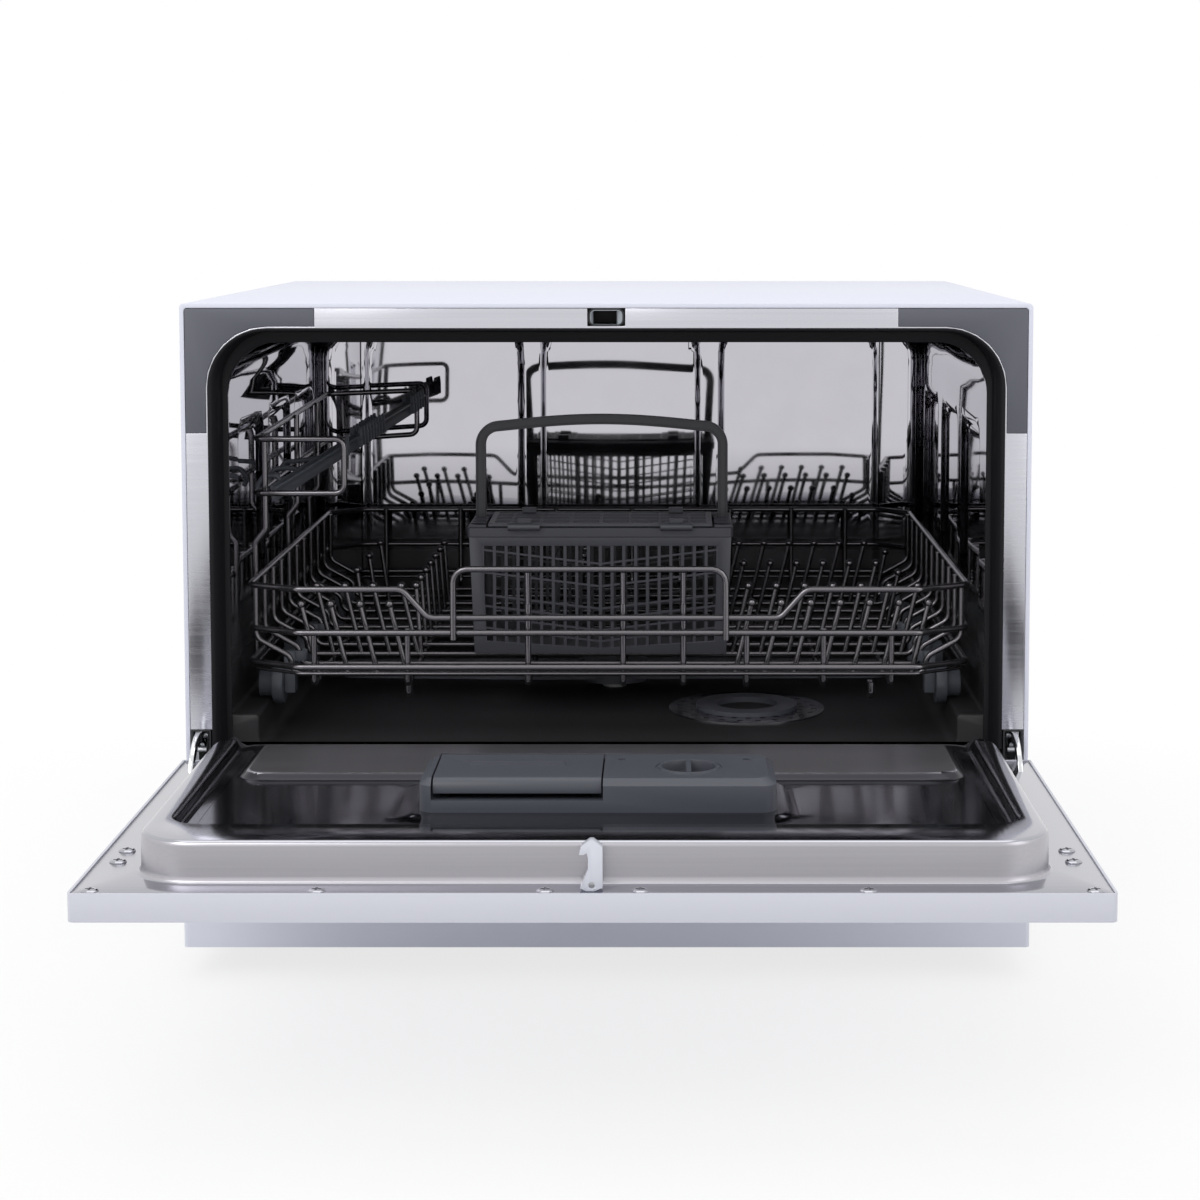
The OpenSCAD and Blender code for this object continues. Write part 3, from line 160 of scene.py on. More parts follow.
recipes = {  # how each finish is made: colour, roughness, then what its function takes
    "whitePaint": (plastic, (0.71, 0.725, 0.825), 0.42, 900, 0.04, 0.0, 0.25),
    # the casing's white made darker: painted shade for the door panel's edges
    "edgePaint": (plastic, (0.60, 0.61, 0.68), 0.42, 900, 0.04, 0.1),
    "plinthPaint": (plastic, (0.72, 0.74, 0.82), 0.5, 1200, 0.06),
    "linerSteel": (steel, (0.44, 0.44, 0.48), 0.14, (3, 500, 500), 0.10, 0.08),
    "brushedSteel": (steel, (0.47, 0.46, 0.49), 0.34, (6, 700, 700), 0.16, 0.12),
    "frameSteel": (steel, (0.58, 0.58, 0.63), 0.26, (4, 600, 600), 0.12, 0.10),
    # the liner's steel darkened for the recess: painted shade
    "recessSteel": (steel, (0.23, 0.23, 0.26), 0.13, (3, 500, 500), 0.08, 0.03, 0),
    "shadedSteel": (newMaterial, (0.045, 0.045, 0.052), 0.3, 1.0),
    "handlePlastic": (plastic, (0.034, 0.035, 0.043), 0.36, 1500, 0.12),
    "tubSteel": (steel, (0.54, 0.53, 0.57), 0.028, (40, 6, 40), 0.08, 0.03, 0),
    "zincSteel": (steel, (0.55, 0.56, 0.58), 0.42, (60, 60, 60), 0.1, 0.1),
    "chromeSteel": (newMaterial, (0.72, 0.73, 0.75), 0.14, 1.0),
    "coatedWire": (newMaterial, (0.178, 0.170, 0.182), 0.2, 0.92),
    "trimPlastic": (plastic, (0.104, 0.108, 0.132), 0.45, 1500, 0.15),
    "slatePlastic": (plastic, (0.047, 0.048, 0.060), 0.42, 1500, 0.12),
    "dispenserPlastic": (plastic, (0.062, 0.067, 0.084), 0.42, 1500, 0.12),
    "lidPlastic": (plastic, (0.060, 0.062, 0.074), 0.40, 1500, 0.12),
    "wheelPlastic": (plastic, (0.12, 0.132, 0.155), 0.45, 1500, 0.12),
    "darkPlastic": (plastic, (0.018, 0.019, 0.022), 0.48, 1500, 0.15),
    "bezelPlastic": (plastic, (0.33, 0.36, 0.39), 0.4, 1500, 0.1),
    "pumpPlastic": (plastic, (0.03, 0.032, 0.036), 0.5, 1200, 0.15),
    "palePlastic": (plastic, (0.55, 0.56, 0.56), 0.5, 1200, 0.1),
    "whitePlastic": (plastic, (0.70, 0.71, 0.73), 0.4, 1500, 0.08),
    "glossBlack": (newMaterial, (0.008, 0.008, 0.01), 0.12, 0.0, 0.4),
    "hookPlastic": (newMaterial, (0.80, 0.82, 0.90), 0.22, 0.0, 0.2, 0.5, 0.25),
    "rubber": (plastic, (0.005, 0.005, 0.007), 0.6, 2500, 0.12, 0.0, 0.3),
    "mat": (plastic, (0.03, 0.03, 0.032), 0.8, 300, 0.4),
    "boardGreen": (plastic, (0.02, 0.10, 0.04), 0.4, 900, 0.1),
}
finishes = {name: make(name, *values) for name, (make, *values) in recipes.items()}
tubShadeAndWaves = {  # ramps of painted shade toward the floor: from and to in mm of height, then the value at each
    "tone": (180, 300, 0.05, 1), "metal": (150, 240, 0.1, 1), "dull": (150, 240, 0.5, 0),
    "waveScale": 6.5, "waveHeight": 1.9,
}


def paintShadeLow(m, tone, metal, dull):  # painted shade: deepens the steel's colour and dulls it toward the tub's floor
    t = m.node_tree
    b = t.nodes["Principled BSDF"]
    place, cut = addNode(t, "ShaderNodeTexCoord"), addNode(t, "ShaderNodeSeparateXYZ")
    scale, add = addNode(t, "ShaderNodeVectorMath", operation="SCALE"), addNode(t, "ShaderNodeMath")
    grain = b.inputs["Base Color"].links[0].from_node
    link(t, (place, "Object", cut, 0), (grain, "Color", scale, 0), (grain, "Roughness", add, 0),
         (scale, 0, b, "Base Color"), (add, 0, b, "Roughness"))
    for (z0, z1, low, high), target, into in ((tone, scale, "Scale"), (metal, b, "Metallic"), (dull, add, 1)):
        ramp = addNode(t, "ShaderNodeMapRange", {"From Min": z0 / 1000, "From Max": z1 / 1000,
                                                 "To Min": low, "To Max": high})
        link(t, (cut, "Z", ramp, "Value"), (ramp, "Result", target, into))


def bendSheet(m, scale, height):  # slow waves of pressed sheet, which bend what it reflects
    t = m.node_tree
    place = addNode(t, "ShaderNodeTexCoord")
    wave = addNode(t, "ShaderNodeTexNoise", {"Scale": scale, "Detail": 0})
    link(t, (place, "Object", wave, "Vector"))
    addBump(m, wave, 0, 1, height)


# painted shade on the tub's steel, deeper toward its floor
paintShadeLow(finishes["tubSteel"], tubShadeAndWaves["tone"], tubShadeAndWaves["metal"], tubShadeAndWaves["dull"])
bendSheet(finishes["tubSteel"], tubShadeAndWaves["waveScale"], tubShadeAndWaves["waveHeight"])

# slots whose finish has another name; the rest have their own, as gloss_black has glossBlack
finishOfSlot = {"brushed_steel": "linerSteel", "clear_white_plastic": "hookPlastic", "black_rubber": "rubber",
                "mat_rubber": "mat"}


def setFinish(obj, finish):
    obj.data.materials.clear()
    obj.data.materials.append(finishes[finish])


for nodeName, nodeObject in frame["nodes"].items():  # nodes that are shown as they are
    slot = slotOfNode[nodeName]
    first, *words = slot.split("_")
    setFinish(nodeObject, finishOfSlot.get(slot, first + "".join(word.title() for word in words)))
print("stage: finishes")


def finishPiece(obj, body, finish, nodes=(), slot=None):  # rides and stands for its nodes; its slot is looked up but not used
    setFinish(obj, finish)
    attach(obj, body)
    if nodes:
        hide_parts(*nodes)
    slot or slotOfNode[nodes[0]]
    return obj


def newObject(name, data):
    o = bpy.data.objects.new(name, data)
    bpy.context.scene.collection.objects.link(o)
    return o


def newPiece(name, points, faces=()):  # an object with a mesh of its own
    mesh = bpy.data.meshes.new(name)
    mesh.from_pydata([tuple(p) for p in points], [], list(faces))
    return newObject(name, mesh)


def plainMesh(obj):  # what its modifiers make of it
    return bpy.data.meshes.new_from_object(obj.evaluated_get(bpy.context.evaluated_depsgraph_get()))


def settle(obj):  # modifiers applied, so that the mesh is plain
    mesh = plainMesh(obj)
    obj.modifiers.clear()
    obj.data = mesh
    return obj


def easeEdges(obj, width, segments, degrees):  # width in mm
    b = obj.modifiers.new("edges", "BEVEL")
    b.width = width / 1000
    b.segments = segments
    b.limit_method = "ANGLE"
    b.angle_limit = math.radians(degrees)


def shadeByAngle(mesh, degrees=35):
    bm = bmesh.new()
    bm.from_mesh(mesh)
    for f in bm.faces:
        f.smooth = True
    limit = math.radians(degrees)
    for e in bm.edges:
        e.smooth = len(e.link_faces) == 2 and e.calc_face_angle(0) < limit
    bm.to_mesh(mesh)
    bm.free()


def meshFrom(name, verts, faces, body, finish, nodes=(), slot=None, angle=35, bevel=0, segments=2,
             merge=True):
    o = newPiece(name, verts, faces)
    bm = bmesh.new()
    bm.from_mesh(o.data)
    if merge:
        bmesh.ops.remove_doubles(bm, verts=bm.verts, dist=1e-6)
        bmesh.ops.dissolve_degenerate(bm, dist=1e-6, edges=bm.edges)
    bmesh.ops.recalc_face_normals(bm, faces=bm.faces)
    bm.to_mesh(o.data)
    bm.free()
    if bevel:
        easeEdges(o, bevel, segments, 30)
    settle(o)
    shadeByAngle(o.data, angle)
    return finishPiece(o, body, finish, nodes, slot)


# a copy of the CAD solid with eased edges
def softCopy(node, finish, bevel=0.4, segments=2, angle=40, reshape=None):
    bm = bmesh.new()
    bm.from_mesh(frame["nodes"][node].data)
    bmesh.ops.remove_doubles(bm, verts=bm.verts, dist=2e-6)
    if reshape:
        for v in bm.verts:
            x, y, z = v.co.x * 1000, v.co.y * 1000 - frontY, v.co.z * 1000
            v.co = at(*reshape(x, y, z))
    bmesh.ops.dissolve_limit(bm, angle_limit=math.radians(0.5), verts=bm.verts, edges=bm.edges)
    o = newPiece(node + "Soft", ())
    bm.to_mesh(o.data)
    bm.free()
    easeEdges(o, bevel, segments, angle - 5)
    settle(o)
    shadeByAngle(o.data, angle)
    return finishPiece(o, bodyOfNode[node], finish, (node,))


def roundedLoop(corners, steps=6):  # corners are (x, y, radius), counter-clockwise
    pts = []
    k = len(corners)
    for i, (x, y, r) in enumerate(corners):
        p = Vector((x, y))
        a = (Vector(corners[i - 1][:2]) - p).normalized()
        b = (Vector(corners[(i + 1) % k][:2]) - p).normalized()
        half = a.angle(b) / 2
        c = p + (a + b).normalized() * (r / math.sin(half))
        s = p + a * (r / math.tan(half)) - c
        turn = math.pi - 2 * half
        sign = 1 if a.x * b.y - a.y * b.x < 0 else -1
        for j in range(steps + 1):
            t = sign * turn * j / steps
            across, along = math.cos(t), math.sin(t)
            pts.append(c + Vector((s.x * across - s.y * along, s.x * along + s.y * across)))
    return pts


def rectLoop(x0, y0, x1, y1, r, steps=6):
    r = max(r, 0.05)
    return roundedLoop([(x0, y0, r), (x1, y0, r), (x1, y1, r), (x0, y1, r)], steps)


def splitCounts(pts, length):  # into how many parts each run of the loop is split
    k = len(pts)
    return [max(1, round((pts[(i + 1) % k] - pts[i]).length / length)) for i in range(k)]


def spread(pts, counts):
    k = len(pts)
    return [pts[i].lerp(pts[(i + 1) % k], j / counts[i]) for i in range(k) for j in range(counts[i])]


def addFaces(verts, faces, newVerts, newFaces):  # joins one point and face list to another
    n = len(verts)
    verts += newVerts
    faces += [tuple(i + n for i in f) for f in newFaces]


def loft(rings, capStart=False, capEnd=False):  # quads between rings of the same length
    verts, faces = [], []
    n = len(rings[0])
    for r in rings:
        verts += r
    for i in range(len(rings) - 1):
        for j in range(n):
            a, b = i * n + j, i * n + (j + 1) % n
            faces.append((a, b, b + n, a + n))
    if capStart:
        faces.append(tuple(reversed(range(n))))
    if capEnd:
        faces.append(tuple(range((len(rings) - 1) * n, len(rings) * n)))
    return verts, faces


def smoothStep(t):
    t = min(1, max(0, t))
    return t * t * (3 - 2 * t)


def insideRound(x, y, x0, y0, x1, y1, r):  # distance inside a rounded rectangle, negative outside
    cx, cy = (x0 + x1) / 2, (y0 + y1) / 2
    dx, dy = abs(x - cx) - (x1 - x0) / 2 + r, abs(y - cy) - (y1 - y0) / 2 + r
    outside = math.hypot(max(dx, 0), max(dy, 0))
    return r - outside - min(max(dx, dy), 0)


def gridLines(lo, hi, marks, coarse, fine, reach=7):  # fine spacing near each mark
    out, v = [lo], lo
    while v < hi - 1e-6:
        near = min((abs(v - m) for m in marks), default=1e9)
        v += fine if near < reach else min(coarse, max(fine, near - reach + fine))
        out.append(min(v, hi))
    return out


def addGrid(verts, faces, xs, ys, place):  # a grid of quads over the lines, each point put by place
    k, w = len(verts), len(xs)
    verts += [place(x, y) for y in ys for x in xs]
    faces += [(a, a + 1, a + w + 1, a + w)
              for j in range(len(ys) - 1) for a in range(k + j * w, k + j * w + w - 1)]


def boxMesh(verts, faces, a, b):  # adds a box between two corners to the lists
    corners = [at(x, y, z) for z in (a[2], b[2])
               for x, y in ((a[0], a[1]), (b[0], a[1]), (b[0], b[1]), (a[0], b[1]))]
    addFaces(verts, faces, corners, [(0, 3, 2, 1), (4, 5, 6, 7), (0, 1, 5, 4), (1, 2, 6, 5), (2, 3, 7, 6),
                                     (3, 0, 4, 7)])


def geometryTree(name, *inputs):
    return makeTree(name, "GeometryNodeTree", [("Geometry", "Geometry"), *inputs, ("Finish", "Material")],
                    [("Geometry", "Geometry")])


def endTree(t, gi, go, source, *between):  # realized, given its finish and put out
    chain = [addNode(t, "GeometryNodeRealizeInstances"), *between, addNode(t, "GeometryNodeSetMaterial")]
    link(t, (source, 0, chain[0], "Geometry"), (gi, "Finish", chain[-1], "Material"),
         *((a, "Geometry", b, "Geometry") for a, b in zip(chain, chain[1:] + [go])))
    return t


def addTree(obj, tree, values):  # sets each input by its socket's identifier
    m = obj.modifiers.new("tree", "NODES")
    m.node_group = tree
    for item in tree.interface.items_tree:
        if item.item_type == "SOCKET" and item.in_out == "INPUT" and item.name in values:
            m[item.identifier] = values[item.name]


def makeWireTree():  # bends a path, gives it a round section and, given a tip radius, puts a ball on its last end
    t, gi, go = geometryTree("bentWire", ("Wire Radius", "Float", 0.002), ("Bend Radius", "Float", 0.006),
                             ("Tip Radius", "Float", 0.0), ("Sides", "Int", 12))
    fillet = addNode(t, "GeometryNodeFilletCurve", {"Count": 4, "Limit Radius": True}, mode="POLY")
    circle = addNode(t, "GeometryNodeCurvePrimitiveCircle")
    sweep = addNode(t, "GeometryNodeCurveToMesh", {"Fill Caps": True})
    ends = addNode(t, "GeometryNodeCurveEndpointSelection", {"Start Size": 0})
    ball = addNode(t, "GeometryNodeMeshUVSphere", {"Segments": 12, "Rings": 8})
    place = addNode(t, "GeometryNodeInstanceOnPoints")
    hasTip = addNode(t, "FunctionNodeCompare", {1: 0.0001}, data_type="FLOAT", operation="GREATER_THAN")
    pick = addNode(t, "GeometryNodeSwitch", input_type="GEOMETRY")
    join = addNode(t, "GeometryNodeJoinGeometry")
    link(t, (gi, "Geometry", fillet, "Curve"), (gi, "Bend Radius", fillet, "Radius"),
         (gi, "Wire Radius", circle, "Radius"), (gi, "Sides", circle, "Resolution"),
         (fillet, "Curve", sweep, "Curve"), (circle, "Curve", sweep, "Profile Curve"),
         (gi, "Tip Radius", ball, "Radius"), (gi, "Geometry", place, "Points"),
         (ends, "Selection", place, "Selection"), (ball, "Mesh", place, "Instance"),
         (gi, "Tip Radius", hasTip, 0), (hasTip, 0, pick, "Switch"), (place, "Instances", pick, "True"),
         (sweep, "Mesh", join, 0), (pick, "Output", join, 0))
    return endTree(t, gi, go, join, addNode(t, "GeometryNodeSetShadeSmooth"))


def makeRibTree():  # a row of equal ribs along a step
    t, gi, go = geometryTree("ribRow", ("Start", "Vector", (0, 0, 0)), ("Step", "Vector", (0.01, 0, 0)),
                             ("Count", "Int", 5), ("Rib Size", "Vector", (0.002, 0.002, 0.02)),
                             ("Turn", "Vector", (0, 0, 0)))
    line = addNode(t, "GeometryNodeMeshLine", mode="OFFSET")
    cube, place = addNode(t, "GeometryNodeMeshCube"), addNode(t, "GeometryNodeInstanceOnPoints")
    link(t, (gi, "Count", line, "Count"), (gi, "Start", line, "Start Location"), (gi, "Step", line, "Offset"),
         (gi, "Rib Size", cube, "Size"), (line, "Mesh", place, "Points"), (cube, "Mesh", place, "Instance"),
         (gi, "Turn", place, "Rotation"))
    return endTree(t, gi, go, place)


def makeCopyTree():  # equal copies of one piece on the points of the carrier
    t, gi, go = geometryTree("copiesOnPoints", ("Piece", "Object"))
    info, place = addNode(t, "GeometryNodeObjectInfo"), addNode(t, "GeometryNodeInstanceOnPoints")
    link(t, (gi, "Piece", info, "Object"), (gi, "Geometry", place, "Points"),
         (info, "Geometry", place, "Instance"))
    return endTree(t, gi, go, place)


wireTree = makeWireTree()
ribTree = makeRibTree()
copyTree = makeCopyTree()


def wires(name, paths, radius, bend, finish, tip=0.0, sides=12, closed=False):  # all in mm
    curve = bpy.data.curves.new(name, "CURVE")
    curve.dimensions = "3D"
    for path in paths:
        s = curve.splines.new("POLY")
        s.points.add(len(path) - 1)
        for i, p in enumerate(path):
            s.points[i].co = (*at(*p), 1)
        s.use_cyclic_u = closed
    o = newObject(name, curve)
    addTree(o, wireTree, {"Wire Radius": radius / 1000, "Bend Radius": bend / 1000, "Tip Radius": tip / 1000,
                          "Sides": sides, "Finish": finishes[finish]})
    mesh = plainMesh(o)
    mesh.name = name
    bpy.data.objects.remove(o)
    bpy.data.curves.remove(curve)
    return newObject(name, mesh)


# the first rib's middle, the step to the next, their count and the rib's edges, in mm; the turn in radians
def ribs(name, start, step, count, size, finish, turn=(0, 0, 0)):
    o = newPiece(name, ())
    addTree(o, ribTree, {"Start": list(at(*start)), "Step": list(Vector(step) / 1000), "Count": count,
                         "Rib Size": list(Vector(size) / 1000), "Turn": list(Vector(turn)),
                         "Finish": finishes[finish]})
    return settle(o)


def joinPieces(name, objs):
    bm = bmesh.new()
    for o in objs:
        bm.from_mesh(o.data)
    joined = newPiece(name, ())
    bm.to_mesh(joined.data)
    bm.free()
    for m in objs[0].data.materials:
        joined.data.materials.append(m)
    for o in objs:
        bpy.data.objects.remove(o)
    return joined


cabinet = {  # what is shown with eased edges: its finish and the width of the edge, mm
    "outer_casing": ("whitePaint", 0.7), "plinth": ("plinthPaint", 0.8), "front_frame": ("frameSteel", 0.3),
    "corner_trim_left": ("trimPlastic", 0.3), "hinge_cover_left": ("darkPlastic", 0.6),
    "hinge_arm_left": ("chromeSteel", 0.5), "corner_trim_right": ("trimPlastic", 0.3),
    "hinge_cover_right": ("darkPlastic", 0.6), "hinge_arm_right": ("chromeSteel", 0.5),
    "levelling_feet": ("rubber", 0.8), "back_panel": ("zincSteel", 0.2), "base_tray": ("pumpPlastic", 0.6),
}
for node, (finish, edge) in cabinet.items():
    softCopy(node, finish, edge)
gasket = {  # each ring: inward from the mouth at the sides and at the top, depth, corner radius
    "half": 257, "low": 147, "top": 421.5, "foot": 0.4,
    "rings": [(0, 0, 22.4, 38), (0.05, 0.05, 1.9, 38), (0.05, 0.05, -0.05, 38), (-0.6, -0.6, -0.06, 38.6),
              (-0.6, -0.6, -0.3, 38.6), (0.1, 0.1, -0.5, 38), (1.2, 1.0, -0.1, 37), (2.2, 1.7, 1.2, 36),
              (4.2, 2.2, 4.5, 35), (5, 2.2, 7, 34.5), (5, 2.2, 19.5, 34.5), (5.4, 2.6, 21.1, 34),
              (8.3, 9.2, 21.4, 33.5), (8.7, 9.7, 21.8, 33.2), (8.7, 9.7, 22.2, 33.2), (8.3, 9.2, 22.4, 33.5)],
}


def makeGasket():  # a soft lip over the frame's edge, a bulb and the seat that hides the tub's step
    g = gasket
    low, foot = g["low"], g["foot"]
    rings = []
    for inSide, inTop, y, r in g["rings"] + g["rings"][:1]:
        h, top = g["half"] - inSide, g["top"] - inTop
        loop = roundedLoop([(-h, low, foot), (h, low, foot), (h, top, r), (-h, top, r)], 12)
        rings.append([at(p.x, y, p.y) for p in loop])
    meshFrom("doorSeal", *loft(rings), "cabinet", "rubber", ("door_gasket",), angle=50)


makeGasket()
socket = {  # the rim's middle, half size and corners; the hook's hole; the tunnel behind it
    "z": 429.1, "w": 11.5, "h": 5.8, "round": 4.4, "hole": (-8.5, 424.5, 6.7, 433.3), "holeRound": 0.5,
    "rim": [(0, 5), (0, 0.1), (0.25, -0.09), (0.9, -0.09), (1.0, 0.5)],  # inward and depth
    # inward, inward at the low edge, corner and depth
    "bezel": [(1.05, 1.05, 3.3, 0.9), (1.05, 1.05, 3.3, 0.2), (1.5, 1.15, 2.9, 0)],
    "holeDeep": (1.4, 3.4, 6), "inside": (-13, 424.3, 13, 434), "insideDeep": (6.2, 34),
}


def makeSocket():  # the latch's dark tunnel with its pale bezel
    k = socket
    w, h, z, hole = k["w"], k["h"], k["z"], k["hole"]

    def ring(x0, z0, x1, z1, r, y):
        return [at(p.x, y, p.y) for p in rectLoop(x0, z0, x1, z1, r, 6)]
    rim = [ring(-w + d, z - h + d, w - d, z + h - d, k["round"] - d, y) for d, y in k["rim"]]
    meshFrom("latchRim", *loft(rim), "cabinet", "darkPlastic", slot="dark_plastic")
    first, second, third = k["holeDeep"]
    bezel = [ring(-w + d, z - h + low, w - d, z + h - d, r, y) for d, low, r, y in k["bezel"]]
    bezel += [ring(hole[0] - 0.8, hole[1] - 0.02, hole[2] + 0.8, hole[3] + 0.6, 0.8, first),
              ring(*hole, k["holeRound"], second), ring(*hole, k["holeRound"], third)]
    meshFrom("latchBezel", *loft(bezel), "cabinet", "bezelPlastic", slot="pale_plastic")
    tunnel = [ring(*hole, k["holeRound"], third)]
    tunnel += [ring(*k["inside"], k["holeRound"], y) for y in k["insideDeep"]]
    meshFrom("latchTunnel", *loft(tunnel, capEnd=True), "cabinet", "darkPlastic", ("latch_housing",))


makeSocket()
print("stage: cabinet")

tub = {
    "half": 250, "floor": 143, "top": 412, "ledgeHalf": 231, "ledge": 165, "corner": 36,
    "mouthHalf": 257, "mouthTop": 421.5, "mouthCorner": 38, "mouthFront": 1.8, "mouthBack": 23,
    "back": 464, "backRound": 13, "backSteps": 6,
    "press": 3, "pressEdge": 5, "pressRoundSide": 14, "pressRoundBack": 16,  # the embossed panels
    "backPanels": [(-211.5, -82.5), (-64, 65), (84.5, 213.5)], "backPanelZ": (176, 398),
    "sidePanels": [(70, 170), (195, 295), (320, 420)], "sidePanelZ": (190, 350),
    "backX": (-217, 217), "backZ": (170.8, 401),
    "backLoop": [(214, 172, 3), (216, 173, 0.4), (216, 175, 0.4), (216, 400, 3)],
    "coarse": 9, "fine": 1.6, "split": 4.5,  # spacing of the mesh away from a panel's edge and at it
}


def bothSides(half):  # a whole loop from its right half, from the lower left corner on
    left = [(-x, z, r) for x, z, r in half]
    return left[:1] + half + left[:0:-1]


def tubLoop(d):  # the cross-section, shrunk by d
    t = tub
    h, g = t["half"] - d, t["ledgeHalf"] - d
    low, ledge = t["floor"] + d, t["ledge"] + d
    return roundedLoop(bothSides([(g, low, 7), (g, ledge, 2.5), (h, ledge, 3),
                                  (h, t["top"] - d, t["corner"] - d)]))


def mouthLoop():
    t = tub
    h = t["mouthHalf"]
    return roundedLoop(bothSides([(h, t["floor"], 4), (h, 155, 0.4), (h, 165, 0.4),
                                  (h, t["mouthTop"], t["mouthCorner"])]))


def pressed(u, z, panels, heights, corner):  # how deep the embossed panels are at a point of the wall
    return tub["press"] * max(smoothStep(insideRound(u, z, a, heights[0], b, heights[1], corner)
                                         / tub["pressEdge"] + 0.5) for a, b in panels)


def makeTub():
    t = tub
    base = tubLoop(0)
    counts = splitCounts(base, t["split"])

    def ring(loop, y, embossed=False):
        out = []
        for p in spread(loop, counts):
            x = p.x
            if embossed and abs(x) > t["half"] - 0.5:
                x += math.copysign(pressed(y, p.y, t["sidePanels"], t["sidePanelZ"], t["pressRoundSide"]), x)
            out.append(at(x, y, p.y))
        return out
    mouth, deep, back, r = t["mouthFront"], t["mouthBack"], t["back"], t["backRound"]
    rings = [ring(mouthLoop(), mouth), ring(mouthLoop(), deep - 3), ring(mouthLoop(), deep),
             ring(tubLoop(-1.5), deep + 0.6), ring(tubLoop(-0.4), deep + 1.2)]
    marks = [y for pair in t["sidePanels"] for y in pair]
    rings += [ring(base, y, True) for y in gridLines(deep + 3, back - r, marks, t["coarse"], t["fine"])]
    for k in range(1, t["backSteps"] + 1):
        a = math.pi / 2 * k / t["backSteps"]
        rings.append(ring(tubLoop(r * (1 - math.cos(a))), back - r * (1 - math.sin(a))))
    rings.append(ring(roundedLoop(bothSides(t["backLoop"])), back))
    verts, faces = loft(rings)
    xs = gridLines(*t["backX"], [x for pair in t["backPanels"] for x in pair], t["coarse"], t["fine"])
    zs = gridLines(*t["backZ"], t["backPanelZ"], t["coarse"], t["fine"])
    addGrid(verts, faces, xs, zs, lambda x, z: at(
        x, back + pressed(x, z, t["backPanels"], t["backPanelZ"], t["pressRoundBack"]), z))
    meshFrom("steelTub", verts, faces, "cabinet", "tubSteel", ("tub",), angle=50, merge=False)


makeTub()
print("stage: tub")

door = {
    "half": 273.3, "near": -319.8, "far": -12.6, "flange": 142, "panHalf": 246, "panNear": -301.5,
    "panFar": -34.5, "panRound": 32, "rim": 165, "recessHalf": 232, "recessNear": -261.5, "recess": 158,
    "recessRound": 18, "stepHalf": 216, "stepNear": -132.5, "stepFar": -40, "stepUp": 3.9, "stepRound": 14,
    "pad": (-109.5, -228.5, 109.5, -143.5), "padUp": 2.2, "padRound": 12,  # raised round the dispenser
    "floorHalf": 222.3, "floorNear": -252.3, "floorFar": -49.7, "slope": 5,
    "marksX": [-216, 216, -101, 101, -93, 93], "marksY": [-132.5, -221, -151, -52],  # fine mesh there
    "stepEnd": -50.5, "stepRun": 4, "openNear": -58, "openRun": 12, "openSide": 3.5,  # towards the hinge
    "finishes": ("linerSteel", "brushedSteel", "recessSteel", "shadedSteel"),
}


def linerProfile():  # half width, near, far, corner radius and height of each ring, from the edge inward
    d = door
    x, n, f, r = d["panHalf"], d["panNear"], d["panFar"], d["panRound"]
    q, m, s = d["recessHalf"], d["recessNear"], d["recessRound"]
    flange, rim, recess = d["flange"], d["rim"], d["recess"]
    return [
        (d["half"], d["near"], d["far"], 3, flange - 1.2), (d["half"], d["near"], d["far"], 3, flange - 0.3),
        (d["half"] - 0.4, d["near"] + 0.4, d["far"] - 0.4, 3, flange),
        (x + 2.8, n - 2.8, f + 3.8, r + 2.5, flange), (x + 1, n - 1, f + 1.6, r + 1, flange + 0.5),
        (x + 0.3, n - 0.2, f + 0.5, r, flange + 1.8), (x, n + 0.2, f, r, flange + 4),
        (x - 0.3, n + 0.5, f - 0.3, r, rim - 3), (x - 0.8, n + 1, f - 0.8, r - 0.6, rim - 1.3),
        (x - 2, n + 2.2, f - 1.4, r - 1.8, rim - 0.35), (x - 3.6, n + 3.8, f - 2.2, r - 3, rim),
        (q + 2.6, m - 3.2, f - 3.6, s + 2, rim), (q + 0.8, m - 1.2, f - 4.4, s, rim - 0.7),
        (q, m, f - 5, s, rim - 2.6), (q - 0.7, m + 1, f - 5.8, s - 1, recess + 2),
        (q - 2, m + 2.4, f - 7, s - 2, recess + 0.4), (q - 4.5, m + 5, f - 9, s - 4, recess),
        (222, -252, -50, 0.1, recess),
    ]


def floorPoint(x, y):  # on the recess's floor with its raised step and the dispenser's pad
    d = door
    h, slope = d["stepHalf"], d["slope"]
    step = smoothStep(insideRound(x, y, -h, d["stepNear"], h, d["stepFar"], d["stepRound"]) / slope + 0.5)
    step *= smoothStep((d["stepEnd"] - y) / d["stepRun"])
    pad = smoothStep(insideRound(x, y, *d["pad"], d["padRound"]) / slope + 0.5)
    return at(x, y, d["recess"] + max(d["stepUp"] * step, d["padUp"] * pad))


def linerFinish(c):  # of the face at c: the rim's walls and the step, the recess's floor in painted shade or its edges in deeper painted shade
    d = door
    y = c.y - frontY
    step = abs(c.x) < d["stepHalf"] + 2 and y > d["stepNear"] - 2.5 and c.z > d["recess"] + 3.5
    deep = insideRound(c.x, y, -d["panHalf"], d["panNear"], d["panHalf"], d["panFar"], d["panRound"])
    if step or deep < 4 and d["flange"] + 0.3 < c.z < d["rim"] - 1:
        return "brushedSteel"
    if deep > 4 and c.z < d["rim"] - 1.5:
        foot = y > d["stepNear"] - 9 and abs(c.x) < d["stepHalf"] + 9 and c.z > d["recess"] + 0.05
        return "shadedSteel" if foot or y > d["openNear"] else "recessSteel"
    return "linerSteel"


